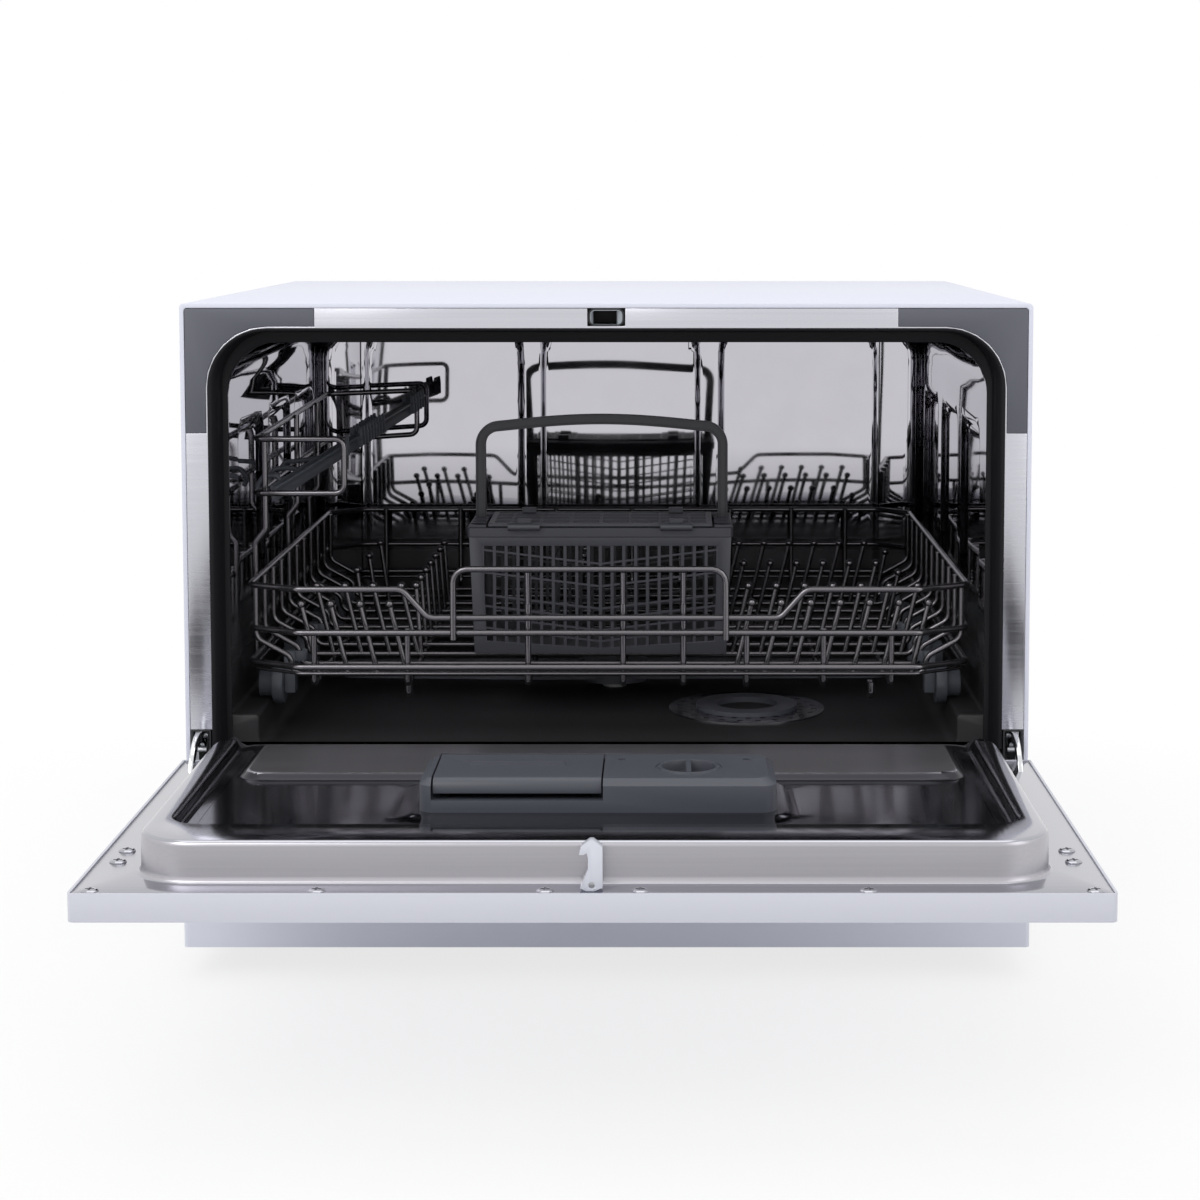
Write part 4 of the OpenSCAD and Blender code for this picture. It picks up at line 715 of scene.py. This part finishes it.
def makeLiner():
    d = door
    x, q = d["panHalf"], d["recessHalf"]
    counts = splitCounts(rectLoop(-x, d["panNear"], x, d["panFar"], d["panRound"], 10), 12)
    rings = []
    for half, near, far, rad, z in linerProfile():
        ring = []
        for p in spread(rectLoop(-half, near, half, far, rad, 10), counts):
            h = z
            if z > d["recess"] and half < x + 1:  # the far rim opens out for the wheels
                opening = smoothStep((q + 2 - abs(p.x)) / d["openSide"])
                opening *= smoothStep((p.y - d["openNear"]) / d["openRun"])
                h = z + (min(z, d["recess"]) - z) * opening
            ring.append(at(p.x, p.y, h))
        rings.append(ring)
    verts, faces = loft(rings)
    xs = gridLines(-d["floorHalf"], d["floorHalf"], d["marksX"], 9, 1.3, 6)
    ys = gridLines(d["floorNear"], d["floorFar"], d["marksY"], 8, 1.3, 6)
    addGrid(verts, faces, xs, ys, floorPoint)
    o = meshFrom("doorLiner", verts, faces, "door", "linerSteel", ("door_liner",), angle=50, merge=False)
    for finish in d["finishes"][1:]:
        o.data.materials.append(finishes[finish])
    for face in o.data.polygons:
        face.material_index = d["finishes"].index(linerFinish(face.center * 1000))


makeLiner()
# the door panel's edges take painted shade; the face that looks down while open takes the casing's white
doorFront = softCopy("door_outer_panel", "edgePaint", 0.7)
doorFront.data.materials.append(finishes["whitePaint"])
for face in doorFront.data.polygons:  # its front looks down while the door is open
    if face.normal.z < -0.5:
        face.material_index = 1
screws = {
    "flange": 142, "wide": 4.7, "high": 1.3, "armWide": 0.7, "armLong": 2.5, "armDeep": 0.9, "points": 48,
    "dome": [(0, 0), (0, 0.2), (0.2, 0.35), (0.7, 0.72), (1.5, 0.96)],  # inward in mm, share of height
    "places": [(x, -315) for x in (-264, -145, -25, 25, 145, 264)] + [(x, y) for x in (-262, 262)
                                                                      for y in (-257.5, -234.5)],
}


def makeScrews():  # domed heads with a cross recess, on the liner's flange
    k = screws
    a, b, h = k["armWide"], k["armLong"], k["high"]
    turns = [math.tau * (i + 0.5) / k["points"] for i in range(k["points"])]

    def cross(t):
        c, v = max(abs(math.cos(t)), 1e-6), max(abs(math.sin(t)), 1e-6)
        return max(min(b / c, a / v), min(a / c, b / v))
    sections = [(lambda t, r=k["wide"] - d: r, h * share) for d, share in k["dome"]]
    sections += [(cross, h), (cross, h - k["armDeep"])]
    head = newPiece("screwHead", *loft([[Vector((reach(t) * math.cos(t), reach(t) * math.sin(t), z)) / 1000
                                         for t in turns] for reach, z in sections], capEnd=True))
    shadeByAngle(head.data, 40)
    o = newPiece("linerScrews", [at(x, y, k["flange"] + 0.02) for x, y in k["places"]])
    addTree(o, copyTree, {"Piece": head, "Finish": finishes["linerSteel"]})
    settle(o)
    bpy.data.objects.remove(head)
    finishPiece(o, "door", "linerSteel", ("door_screws",))


makeScrews()
dispenser = {"x0": -101, "x1": 101, "y0": -221, "y1": -151, "round": 8, "edge": 172, "shoulder": 175.4,
             "top": 178.9}


def dispenserShoulder(x, y, z):  # the stepped top edge becomes one rounded shoulder
    k = dispenser
    if abs(z - k["edge"]) < 0.35:
        deep = insideRound(x, y, k["x0"], k["y0"], k["x1"], k["y1"], k["round"])
        z = k["shoulder"] if deep < 2 else k["top"]
    return x, y, z


softCopy("dispenser_body", "dispenserPlastic", 1.4, 3, 25, dispenserShoulder)
doorParts = {  # finish, width of the eased edge in mm, its segments
    "dispenser_lid": ("dispenserPlastic", 0.7, 3), "rinse_cap": ("dispenserPlastic", 0.5),
    "latch_hook": ("hookPlastic", 0.6), "latch_bracket": ("zincSteel", 0.2), "grip_cup": ("darkPlastic", 0.8),
    "control_fascia": ("glossBlack", 0.4), "display_window": ("glossBlack", 0.2),
    "power_button": ("whitePlastic", 0.5), "program_button": ("whitePlastic", 0.5),
    "delay_button": ("whitePlastic", 0.5), "start_button": ("whitePlastic", 0.5),
}
for node, values in doorParts.items():
    softCopy(node, *values)
print("stage: door")

rack = {
    "wire": 2.1, "half": 240, "front": 27, "back": 457, "frontCut": 35, "backCut": 26, "turnIn": 22,
    "low": 196, "mid": 219, "top": 248, "dip": 229, "dipX": (-136, -119, 114, 131), "floor": 184, "lift": 3.6,
    "rowFirst": 49, "rowPitch": 36.5, "rows": 11, "shoulder": 27, "shoulderZ": (199, 212),
    "longX": [-195, -133, -53, 10, 50, 92, 143, 188], "handleX": [-53, 10, 50], "handle": (-102, 78, 262),
    "riser": (260, 238), "lowEnd": 4, "sillDown": 4.4, "sillWire": 1.1, "thin": 0.93, "tineThin": 0.86,
    "loop": [(0, 343), (60, 343), (60, 306), (0, 306)], "loopNear": 51,  # cup shelf, in from the side and up
    "loopEnd": [(0, 309), (74, 314), (74, 350), (0, 347)], "loopFar": 30,
    "post": [(3.6, 346), (3.6, 279), (-3.6, 270), (-3.6, 192)], "postRows": (1, 5, 8), "postBehind": 8,
    "feet": [(-133, 174.5), (92, 182.4), (175, 174.5)], "footNear": 9, "footFar": 17,
    "tip": 2.9, "tinePitch": 19.75, "tineX": (-194.5, 84.5), "tineLean": 11.5, "tineHigh": 48,
    "rowTines": [  # x, lean sideways and back, height, rows
        (-133, -3.5, 2, 48, range(2, 9)), (-180, -7, 2, 48, (4, 6, 8)), (-30, 6, 3, 48, range(6, 9))],
}


def ringPath(z, grow=0):
    k = rack
    h, f, b = k["half"] + grow, k["front"] - grow, k["back"]
    cut, far, turn = k["frontCut"], k["backCut"], k["turnIn"]
    return [(h, f + turn, z), (h - cut, f, z), (-h + cut, f, z), (-h, f + turn, z), (-h, b - far, z),
            (-h + far, b, z), (h - far, b, z), (h, b - far, z)]


def tinePaths(rowY, z):
    k = rack
    tines = []

    def tine(x, row, lean, high, back=0):
        tines.append([(x, rowY[row], z - 0.5), (x + lean, rowY[row] + back, z + high)])
    (left, right), pitch, lean, high = k["tineX"], k["tinePitch"], k["tineLean"], k["tineHigh"]
    for i in range(4):
        for row in (0, 2):
            tine(left + i * pitch, row, -lean, high - 1 + row * 0.5)
    for i in range(7):
        for row in (0, 2, 5, 8):
            edge = i == 6 and row > 2  # the last ones stand clear of the side wires
            tine(right + i * pitch, row, lean - 3 * edge, high - 7 * edge)
    for x, lean, back, high, rows in k["rowTines"]:
        for row in rows:
            tine(x, row, lean, high, back)
    return tines


def makeRack():
    k = rack
    h, f, b, w, lift, top, low = k["half"], k["front"], k["back"], k["wire"], k["lift"], k["top"], k["low"]
    floor = k["floor"]
    crossZ = floor + lift
    rowY = [k["rowFirst"] + i * k["rowPitch"] for i in range(k["rows"])]
    ring = ringPath(top)
    dips = [(x, f, z) for x, z in zip(reversed(k["dipX"]), (top, k["dip"], k["dip"], top))]
    topPath = ring[:2] + dips + ring[2:]
    x, j, (z0, z1) = h - lift, h - k["shoulder"], k["shoulderZ"]
    half = [(x, top + 1), (x, z1), (j, z0), (j, crossZ)]
    cross = [[(-u, y, z) for u, z in half] + [(u, y, z) for u, z in reversed(half)] for y in rowY]
    longs = []
    y0, y1 = f + lift, b - lift
    for x in k["longX"]:
        start = [(x, y0, k["mid"] + 2)]
        if x in k["handleX"]:
            start = [(x, f - 1.5, k["riser"][0]), (x, y0, k["riser"][1])]
        longs.append(start + [(x, y0, floor + 1), (x, y0 + 3, floor), (x, y1, floor), (x, y1, top + 1)])
    xa, xb, high = k["handle"]
    end = k["mid"] - k["lowEnd"]
    handle = [(x, f - lift, z) for x, z in ((xa, end), (xa, high), (xb, high), (xb, end))]
    loop = [(u - h, f + k["loopNear"], z) for u, z in k["loop"]]
    loop += [(u - h, b - k["loopFar"], z) for u, z in k["loopEnd"]]
    posts = [[(u - h, rowY[row] + k["postBehind"], z) for u, z in k["post"]] for row in k["postRows"]]
    near, far = f + k["footNear"], f + k["footFar"]
    feet = [[(x, near, floor), (x, near, z), (x, far, z), (x, far, floor)] for x, z in k["feet"]]
    rows = [  # name, paths, wire radius, bend radius, tip radius, sides, closed
        ("rackTopRail", [topPath], w, 9, 0, 14, True),
        ("rackRails", [ringPath(k["mid"]), ringPath(low)], w, 12, 0, 14, True),
        ("rackSill", [ringPath(low - k["sillDown"], -0.9)], k["sillWire"], 12, 0, 10, True),
        ("rackCross", cross, w * k["thin"], 7, 0, 12, False),
        ("rackLong", longs, w * k["thin"], 7, 0, 12, False),
        ("rackHandle", [handle], w, 9, 0, 14, False),
        ("rackTines", tinePaths(rowY, crossZ), w * k["tineThin"], 1, k["tip"], 10, False),
        ("cupLoop", [loop], w, 6, 0, 12, True), ("cupPosts", posts, w, 5, 0, 12, False),
        ("rackFeet", feet, w, 3.9, 0, 12, False),
    ]
    parts = [wires(name, paths, radius, bend, "coatedWire", tip, sides, closed)
             for name, paths, radius, bend, tip, sides, closed in rows]
    finishPiece(joinPieces("rackWire", parts), "rack", "coatedWire", ("rack_wires",))


makeRack()
for where in ("front", "middle", "back"):
    for side in ("left", "right"):
        softCopy("wheel_%s_%s" % (side, where), "wheelPlastic", 0.7)
softCopy("wheel_axles", "wheelPlastic", 0.4)
comb = {
    "from": (-231, 98, 298), "to": (-160, 402, 338), "wireX": -240, "wireZ": 306, "slim": 0.72,
    "finWide": 1.8, "finPitch": 6.3, "finRows": [(0.43, 1), (0.52, 9), (0.9, 5)], "hooks": (0.06, 0.22, 0.38),
    "bar": [(1.2, 10.3), (1.6, 11), (3.6, 11), (4.2, 10.6), (4.2, 9.2), (1.9, 8.6), (1.5, 4.6), (1.8, 1.2),
            (1.4, 0)],  # half of the section, out and up
    "fin": [(1.6, 11.4), (2.6, 16.4), (4.4, 16.4), (4.9, 11), (4.9, 1.5)],
    "hook": [(8, 8), (-1, 7.5), (-5.6, 1), (-3, -5)], "hookWire": 1.7,  # from the wire, sideways and up
}


def makeComb():  # a channel bar with thin fins, hung from the cup shelf's wire by three hooks
    k = comb
    a, b = at(*k["from"]), at(*k["to"])
    run = (b - a).normalized()
    out = run.cross(Vector((0, 0, 1))).normalized()
    up = out.cross(run).normalized()
    verts, faces = [], []

    def prism(half, ends, slim=1):  # the section at both ends; slim thins the first
        section = half + [(-u, v) for u, v in reversed(half)]
        addFaces(verts, faces, *loft([[end + (out * u * (slim if i == 0 else 1) + up * v) / 1000
                                       for u, v in section] for i, end in enumerate(ends)], True, True))
    prism(k["bar"], (a, b), k["slim"])
    for share, count in k["finRows"]:
        for i in range(count):
            base = a.lerp(b, share) + run * i * k["finPitch"] / 1000
            prism(k["fin"], (base, base + run * k["finWide"] / 1000))
    meshFrom("combBar", verts, faces, "cup_shelf", "wheelPlastic", ("cup_comb",), "wheel_plastic",
             bevel=0.25, segments=1)
    straps = []
    for t in k["hooks"]:
        x, y, z = (p + t * (q - p) for p, q in zip(k["from"], k["to"]))
        straps.append([(x, y, z + 5)] + [(k["wireX"] + u, y, k["wireZ"] + v) for u, v in k["hook"]])
    hooks = wires("combHooks", straps, k["hookWire"], 3.5, "wheelPlastic", sides=8)
    finishPiece(hooks, "cup_shelf", "wheelPlastic", slot="wheel_plastic")


makeComb()
print("stage: rack")

basket = {
    "x0": -98, "x1": 84, "y0": 104, "y1": 189, "z0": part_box("cutlery_basket")[0].z * 1000, "high": 88,
    "wall": 2, "taper": 3.6, "frame": 9, "windowTop": 266.2, "windowLow": 200, "windowDip": 195,
    "ribPitch": 8.14, "ribWide": 2.15, "slope": 6.9, "rimOut": 0.9, "rimLow": 272.5, "dividerX": (-40, 26),
    "chevrons": [(253.7, -15.7, 2), (222.3, -7.6, 4)],  # height, step and count of the sloped ribs
    "crossPitch": 20.6, "slat": 2.4,
}
lid = {
    "x0": -84.6, "x1": 70.6, "y0": 106, "y1": 172, "z0": 279.4, "z1": 281.8, "slats": 6,
    "barrelY": 101.2, "barrelZ": 279.8, "barrel": 2.5, "clipLong": 22, "clipIn": 14,
}
handle = {
    "legs": (-92.6, 78.6), "y": 150.5, "low": 263, "high": 350.4, "bow": 5, "corner": 13, "bowSteps": 24,
    "section": [(0, 2.6), (2.3, 2.6), (2.4, 4), (3.3, 4), (3.5, 3.8), (3.5, 0)],  # a quarter of it
}


# a tapered wall from u0 to u1 with a five-sided window
def windowWall(verts, faces, u0, u1, place, dip):
    k = basket
    z0, z1 = k["z0"], k["z0"] + k["high"]
    e, f, mid, low, top = k["taper"], k["frame"], (u0 + u1) / 2, k["windowLow"], k["windowTop"]

    def slide(u, z):  # the wall's ends lean inward toward the foot
        return u + math.copysign(e * (z1 - z) / (z1 - z0), mid - u) if abs(u - mid) > 1 else u
    edge = [(u0, z0), (mid, z0), (u1, z0), (u1, z1), (u0, z1)]
    hole = [(u0 + f, low), (mid, dip), (u1 - f, low), (u1 - f, top), (u0 + f, top)]
    quads = []
    for i, j in ((i, (i + 1) % 5) for i in range(5)):
        quads += [(i, j, 5 + j, 5 + i), (10 + i, 15 + i, 15 + j, 10 + j), (i, 10 + i, 10 + j, j),
                  (5 + i, 5 + j, 15 + j, 15 + i)]
    points = [place(slide(u, z), deep, z) for deep in (0, k["wall"]) for u, z in edge + hole]
    addFaces(verts, faces, points, quads)


def makeShell():  # the basket's walls, floor and rim
    k = basket
    x0, x1, y0, y1, z0 = k["x0"], k["x1"], k["y0"], k["y1"], k["z0"]
    z1, w, e, r, rimLow = z0 + k["high"], k["wall"], k["taper"], k["rimOut"], k["rimLow"]
    verts, faces = [], []
    windowWall(verts, faces, x0, x1, lambda u, d, z: at(u, y0 + d, z), k["windowDip"])
    windowWall(verts, faces, x0, x1, lambda u, d, z: at(u, y1 - d, z), k["windowDip"])
    for x in (x0, x1):  # the end walls lean with the front's taper
        def place(u, d, z):
            lean = e * (z1 - z) / (z1 - z0) + d
            return at(x - math.copysign(lean, x), min(max(u, y0 + 0.4), y1 - 0.4), z)
        windowWall(verts, faces, y0 - e, y1 + e, place, k["windowLow"])
    boxMesh(verts, faces, (x0 + e + 0.5, y0 + 0.5, z0), (x1 - e - 0.5, y1 - 0.5, z0 + 1.4))
    outer = rectLoop(x0 - r, y0 - r, x1 + r, y1 + r, 3, 4)
    inner = rectLoop(x0 + w, y0 + w, x1 - w, y1 - w, 1.5, 4)
    rings = ((outer, rimLow), (outer, z1), (inner, z1), (inner, rimLow), (outer, rimLow))
    addFaces(verts, faces, *loft([[at(p.x, p.y, z) for p in loop] for loop, z in rings]))
    boxMesh(verts, faces, (x0 + 1, 175, z1 - 2), (x1 - 1, 178, z1 + 0.6))
    meshFrom("basketShell", verts, faces, "basket", "slatePlastic", ("cutlery_basket",), angle=40, bevel=0.35,
             segments=1)


def makeLattice():  # ribs of the basket's windows, its dividers and the fixed strips of its top
    k, q = basket, lid
    x0, x1, y0, y1, z0 = k["x0"], k["x1"], k["y0"], k["y1"], k["z0"]
    z1, e, pitch, wide = z0 + k["high"], k["taper"], k["ribPitch"], k["ribWide"]
    midX, midY = (x0 + x1) / 2, (y0 + y1) / 2
    top, foot = k["windowTop"] + 1, k["windowDip"] - 1
    midZ, tall = (top + foot) / 2, top - foot
    nx, ny = int((x1 - x0 - 2 * k["frame"]) / pitch) + 1, int((y1 - y0 - 2 * k["frame"]) / pitch)
    half, a, tilt = (x1 - x0) / 2 - k["frame"] + 1, math.radians(k["slope"]), math.atan(e / (z1 - z0))
    rows = []  # what ribs() takes; slate plastic where no finish is given
    for y in (y0 + 1, y1 - 1):
        rows.append(("ribsX", (midX - (nx - 1) / 2 * pitch, y, midZ), (pitch, 0, 0), nx, (wide, 1.5, tall)))
        rows += [("ribsV", (midX + s * half / 2, y, z + half / 2 * math.tan(a)), (0, 0, step), count,
                  (half / math.cos(a), 1.3, 1.25), "slatePlastic", (0, -s * a, 0))
                 for s in (-1, 1) for z, step, count in k["chevrons"]]
    for x in (x0, x1):
        side = math.copysign(1, x)
        lean = x - side * (1 + e * (z1 - midZ) / (z1 - z0))
        rows += [("ribsY", (lean, midY - (ny - 1) / 2 * pitch, midZ), (0, pitch, 0), ny, (1.4, wide, tall),
                  "slatePlastic", (0, side * tilt, 0)),
                 ("ribsZ", (x - side * 4.2, midY, 207), (side * 0.65, 0, 15.7), 4, (1.3, y1 - y0 - 16, 1.25))]
    for x in k["dividerX"]:
        rows += [("dividerRibs", (x, midY - 32, 233), (0, 9.1, 0), 8, (1.3, 2, 76)),
                 ("dividerRails", (x, midY, 200), (0, 0, 18), 5, (1.3, y1 - y0 - 3, 1.6))]
    rows += [("rearSlats", (midX, 181.5, z1 + 0.4), (0, 5, 0), 2, (x1 - x0 - 2, 1.6, 0.6), "lidPlastic"),
             ("rearCross", (x0 + 8, 182.5, z1 + 0.1), (k["crossPitch"], 0, 0), 9, (2, 12, 0.6), "lidPlastic")]
    deep, free = q["y1"] - q["y0"], abs(x0 - q["x0"])
    step = (deep - 9) / (q["slats"] + 1)
    for x in ((x0 + q["x0"]) / 2 - 0.6, (x1 + q["x1"]) / 2 + 0.6):  # fixed strips beside the lid
        rows += [("sideSlats", (x, q["y0"] + 5 + step, z1 + 1.6), (0, step, 0), q["slats"],
                  (free - 2.2, k["slat"], 0.6), "lidPlastic"),
                 ("sideEdges", (x, q["y0"] + 1.5, z1 + 0.8), (0, deep - 3, 0), 2, (free - 1.6, 3, 1.8),
                  "lidPlastic")]
    parts = [ribs(*row[:5], *(row[5:] or ("slatePlastic",))) for row in rows]
    finishPiece(joinPieces("basketLattice", parts), "basket", "slatePlastic", slot="slate_plastic")


def makeLid():  # frame, clips and barrels; its slats are ribs
    q = lid
    x0, x1, y0, y1, z0, z1 = q["x0"], q["x1"], q["y0"], q["y1"], q["z0"], q["z1"]
    verts, faces = [], []
    for a, b in (((x0, y0), (x1, y0 + 5)), ((x0, y1 - 4), (x1, y1)), ((x0, y0 + 4), (x0 + 4, y1 - 3)),
                 ((x1 - 4, y0 + 4), (x1, y1 - 3))):
        boxMesh(verts, faces, (*a, z0), (*b, z1))
    long = q["clipLong"]
    starts = (x0 + q["clipIn"], x1 - q["clipIn"] - long)
    for x in starts:
        boxMesh(verts, faces, (x + 1, q["barrelY"], z0 + 0.2), (x + long - 1, y0 + 1, z1))
        boxMesh(verts, faces, (x + 6, y0 + 1, z0 + 1), (x + 16, y0 + 9, z1 + 2.2))
        boxMesh(verts, faces, (x + 6, y1 - 4, z0 + 1), (x + 16, y1 + 0.4, z1 + 3.2))
    meshFrom("lidFrame", verts, faces, "basket_cover", "lidPlastic", ("basket_lid",), bevel=0.3, segments=1)
    deep, pitch = y1 - y0 - 9, basket["crossPitch"]
    step, n = deep / (q["slats"] + 1), int((x1 - x0 - 10) / pitch)
    midX = (x0 + x1) / 2
    slats = [ribs("lidSlats", (midX, y0 + 5 + step, z1 - 0.35), (0, step, 0), q["slats"],
                  (x1 - x0 - 6, basket["slat"], 0.6), "lidPlastic"),
             ribs("lidCross", (midX - (n - 1) / 2 * pitch, (y0 + y1 + 1) / 2, z1 - 0.7), (pitch, 0, 0), n,
                  (2.2, deep + 2, 0.7), "lidPlastic")]
    barrels = wires("lidBarrels", [[(x, q["barrelY"], q["barrelZ"]), (x + long, q["barrelY"], q["barrelZ"])]
                                   for x in starts], q["barrel"], 1, "lidPlastic", sides=16)
    for piece in (joinPieces("lidSlatRows", slats), barrels):
        finishPiece(piece, "basket_cover", "lidPlastic", slot="slate_plastic")


def makeHandle():  # a channel bent into a bowed arch
    k = handle
    (xa, xb), r, n = k["legs"], k["corner"], k["bowSteps"]
    side = k["high"] - k["bow"]
    turns = [math.radians(t) for t in range(0, 84, 9)]
    bend = [(r - r * math.cos(t), side - r + r * math.sin(t)) for t in turns]  # from the leg inward
    path = [(xa, k["low"]), (xa, side - r - 12)] + [(xa + u, z) for u, z in bend]
    path += [(xa + r + (xb - xa - 2 * r) * t / n, side + k["bow"] * math.sin(math.pi * t / n))
             for t in range(1, n)]
    path += [(xb - u, z) for u, z in reversed(bend)] + [(xb, side - r - 12), (xb, k["low"])]
    half = k["section"]
    section = half + [(u, -v) for u, v in reversed(half[:-1])] + [(-u, -v) for u, v in half[1:]]
    section += [(-u, v) for u, v in reversed(half[1:-1])]
    pts = [Vector(p) for p in path]
    rings = []
    for i, p in enumerate(pts):
        along = (pts[min(i + 1, len(pts) - 1)] - pts[max(i - 1, 0)]).normalized()
        rings.append([at(p.x - along.y * u, k["y"] + v, p.y + along.x * u) for u, v in section])
    meshFrom("basketHandle", *loft(rings, True, True), "basket", "handlePlastic", ("basket_handle",),
             angle=30)


makeShell()
makeLattice()
makeLid()
makeHandle()
print("stage: basket")

stage = {
    "floor": 14.0, "world": 0.74, "cardNear": -0.42, "cardFar": -1.5, "cardHalf": 0.75, "cardUp": 0.002,
    "underHalf": 0.262, "underNear": -0.076, "underFar": 0.374, "underUp": 0.0192,
    "clearSize": (0.30, 0.38, 0), "clearRun": 0.35, "shadowKept": 0.22,  # m from the object; share shown
}
lamps = {  # place, target, size, power
    "keyLight": ((-1.3, -1.9, 2.0), (0, -0.1, 0.2), (1.4, 1.4), 20),
    "fillLight": ((1.9, -1.5, 1.4), (0, 0, 0.25), (1.2, 1.6), 7),
    "topLight": ((0, 0.1, 2.4), (0, 0, 0), (2.2, 1.6), 10),
}
view = {"x": 38.4, "y": -1572.2, "z": 499.5, "lens": 73.31, "pitch": 4.69, "shiftX": -0.0549, "shiftY": -0.16}


def seenRays(tree):  # a node that gives 1 for the rays that show the background
    path = addNode(tree, "ShaderNodeLightPath")
    first = addNode(tree, "ShaderNodeMath", operation="MAXIMUM")
    second = addNode(tree, "ShaderNodeMath", operation="MAXIMUM")
    link(tree, (path, "Is Camera Ray", first, 0), (path, "Is Transmission Ray", first, 1),
         (first, 0, second, 0), (path, "Is Glossy Ray", second, 1))
    return second


def stagePlane(name, x0, y0, x1, y1, z, material, hiddenFrom=()):  # m; the rays that don't meet it
    o = newPiece(name, [(x0, y0, z), (x1, y0, z), (x1, y1, z), (x0, y1, z)], [(0, 1, 2, 3)])
    o.data.materials.append(material)
    for rays in hiddenFrom:
        setattr(o, "visible_" + rays, False)


def makeFloor():  # pale floor that turns to the white background a little way from the object
    k, s = stage, stage["floor"]
    m = newMaterial("floorWhite", (0.93, 0.93, 0.93), 0.7, specular=0.1)
    t = m.node_tree
    place, flat = addNode(t, "ShaderNodeTexCoord"), addNode(t, "ShaderNodeVectorMath", operation="ABSOLUTE")
    cut = addNode(t, "ShaderNodeVectorMath", {1: k["clearSize"]}, operation="SUBTRACT")
    beyond = addNode(t, "ShaderNodeVectorMath", {1: (0, 0, 0)}, operation="MAXIMUM")
    distance = addNode(t, "ShaderNodeVectorMath", operation="LENGTH")
    fade = addNode(t, "ShaderNodeMapRange", {"From Min": 0, "From Max": k["clearRun"], "To Max": 1,
                                             "To Min": 1 - k["shadowKept"]}, interpolation_type="SMOOTHSTEP")
    share = addNode(t, "ShaderNodeMath", operation="MULTIPLY")
    white = addNode(t, "ShaderNodeEmission", {"Color": (1, 1, 1, 1), "Strength": 1})
    mix = addNode(t, "ShaderNodeMixShader")
    link(t, (place, "Object", flat, 0), (flat, 0, cut, 0), (cut, 0, beyond, 0), (beyond, 0, distance, 0),
         (distance, "Value", fade, "Value"), (fade, "Result", share, 0), (seenRays(t), 0, share, 1),
         (share, 0, mix, "Fac"), (t.nodes["Principled BSDF"], "BSDF", mix, 1), (white, "Emission", mix, 2),
         (mix, "Shader", t.nodes["Material Output"], "Surface"))
    stagePlane("floor", -s, -s, s, s * 2, 0, m)


def makeCards():  # one lies in front, seen only as a reflection; one is a black sheet of painted shadow under the machine, which keeps the lit floor out of the vents
    k = stage
    black = newMaterial("cardBlack", (0.012, 0.012, 0.014), 0.9, 0.0, 0.0, 0.0)
    h, x = k["cardHalf"], k["underHalf"]
    stagePlane("darkCard", -h, k["cardFar"], h, k["cardNear"], k["cardUp"], black,
               ("camera", "diffuse", "shadow", "transmission", "volume_scatter"))
    # painted shadow: a black sheet under the machine
    stagePlane("underShade", -x, k["underNear"], x, k["underFar"], k["underUp"], black)


def makeWorld():
    w = bpy.data.worlds.new("studio")
    bpy.context.scene.world = w
    w.use_nodes = True
    t = w.node_tree
    pick = addNode(t, "ShaderNodeMix", {"A": stage["world"], "B": 1.0}, data_type="FLOAT")
    t.nodes["Background"].inputs["Color"].default_value = (1, 1, 1, 1)
    link(t, (seenRays(t), 0, pick, "Factor"), (pick, "Result", t.nodes["Background"], "Strength"))


def areaLight(name, place, target, size, power):
    d = bpy.data.lights.new(name, "AREA")
    d.shape = "RECTANGLE"
    d.size, d.size_y = size
    d.energy = power
    o = newObject(name, d)
    o.location = place
    o.rotation_euler = (Vector(target) - Vector(place)).to_track_quat("-Z", "Y").to_euler()


makeFloor()
makeCards()
makeWorld()
for name, values in lamps.items():
    areaLight(name, *values)
cam = bpy.data.cameras.new("camera")
cam.lens, cam.sensor_width, cam.sensor_height = view["lens"], 36, 36
cam.shift_x, cam.shift_y = view["shiftX"], view["shiftY"]
cam.clip_start, cam.clip_end = 0.05, 50
camera = newObject("camera", cam)
camera.location = at(view["x"], view["y"], view["z"])
camera.rotation_euler = (math.radians(90 - view["pitch"]), 0, 0)
bpy.context.scene.camera = camera
bpy.context.scene.view_settings.view_transform = "Standard"
print("stage: floor, lamps and camera")

print("stage: done")
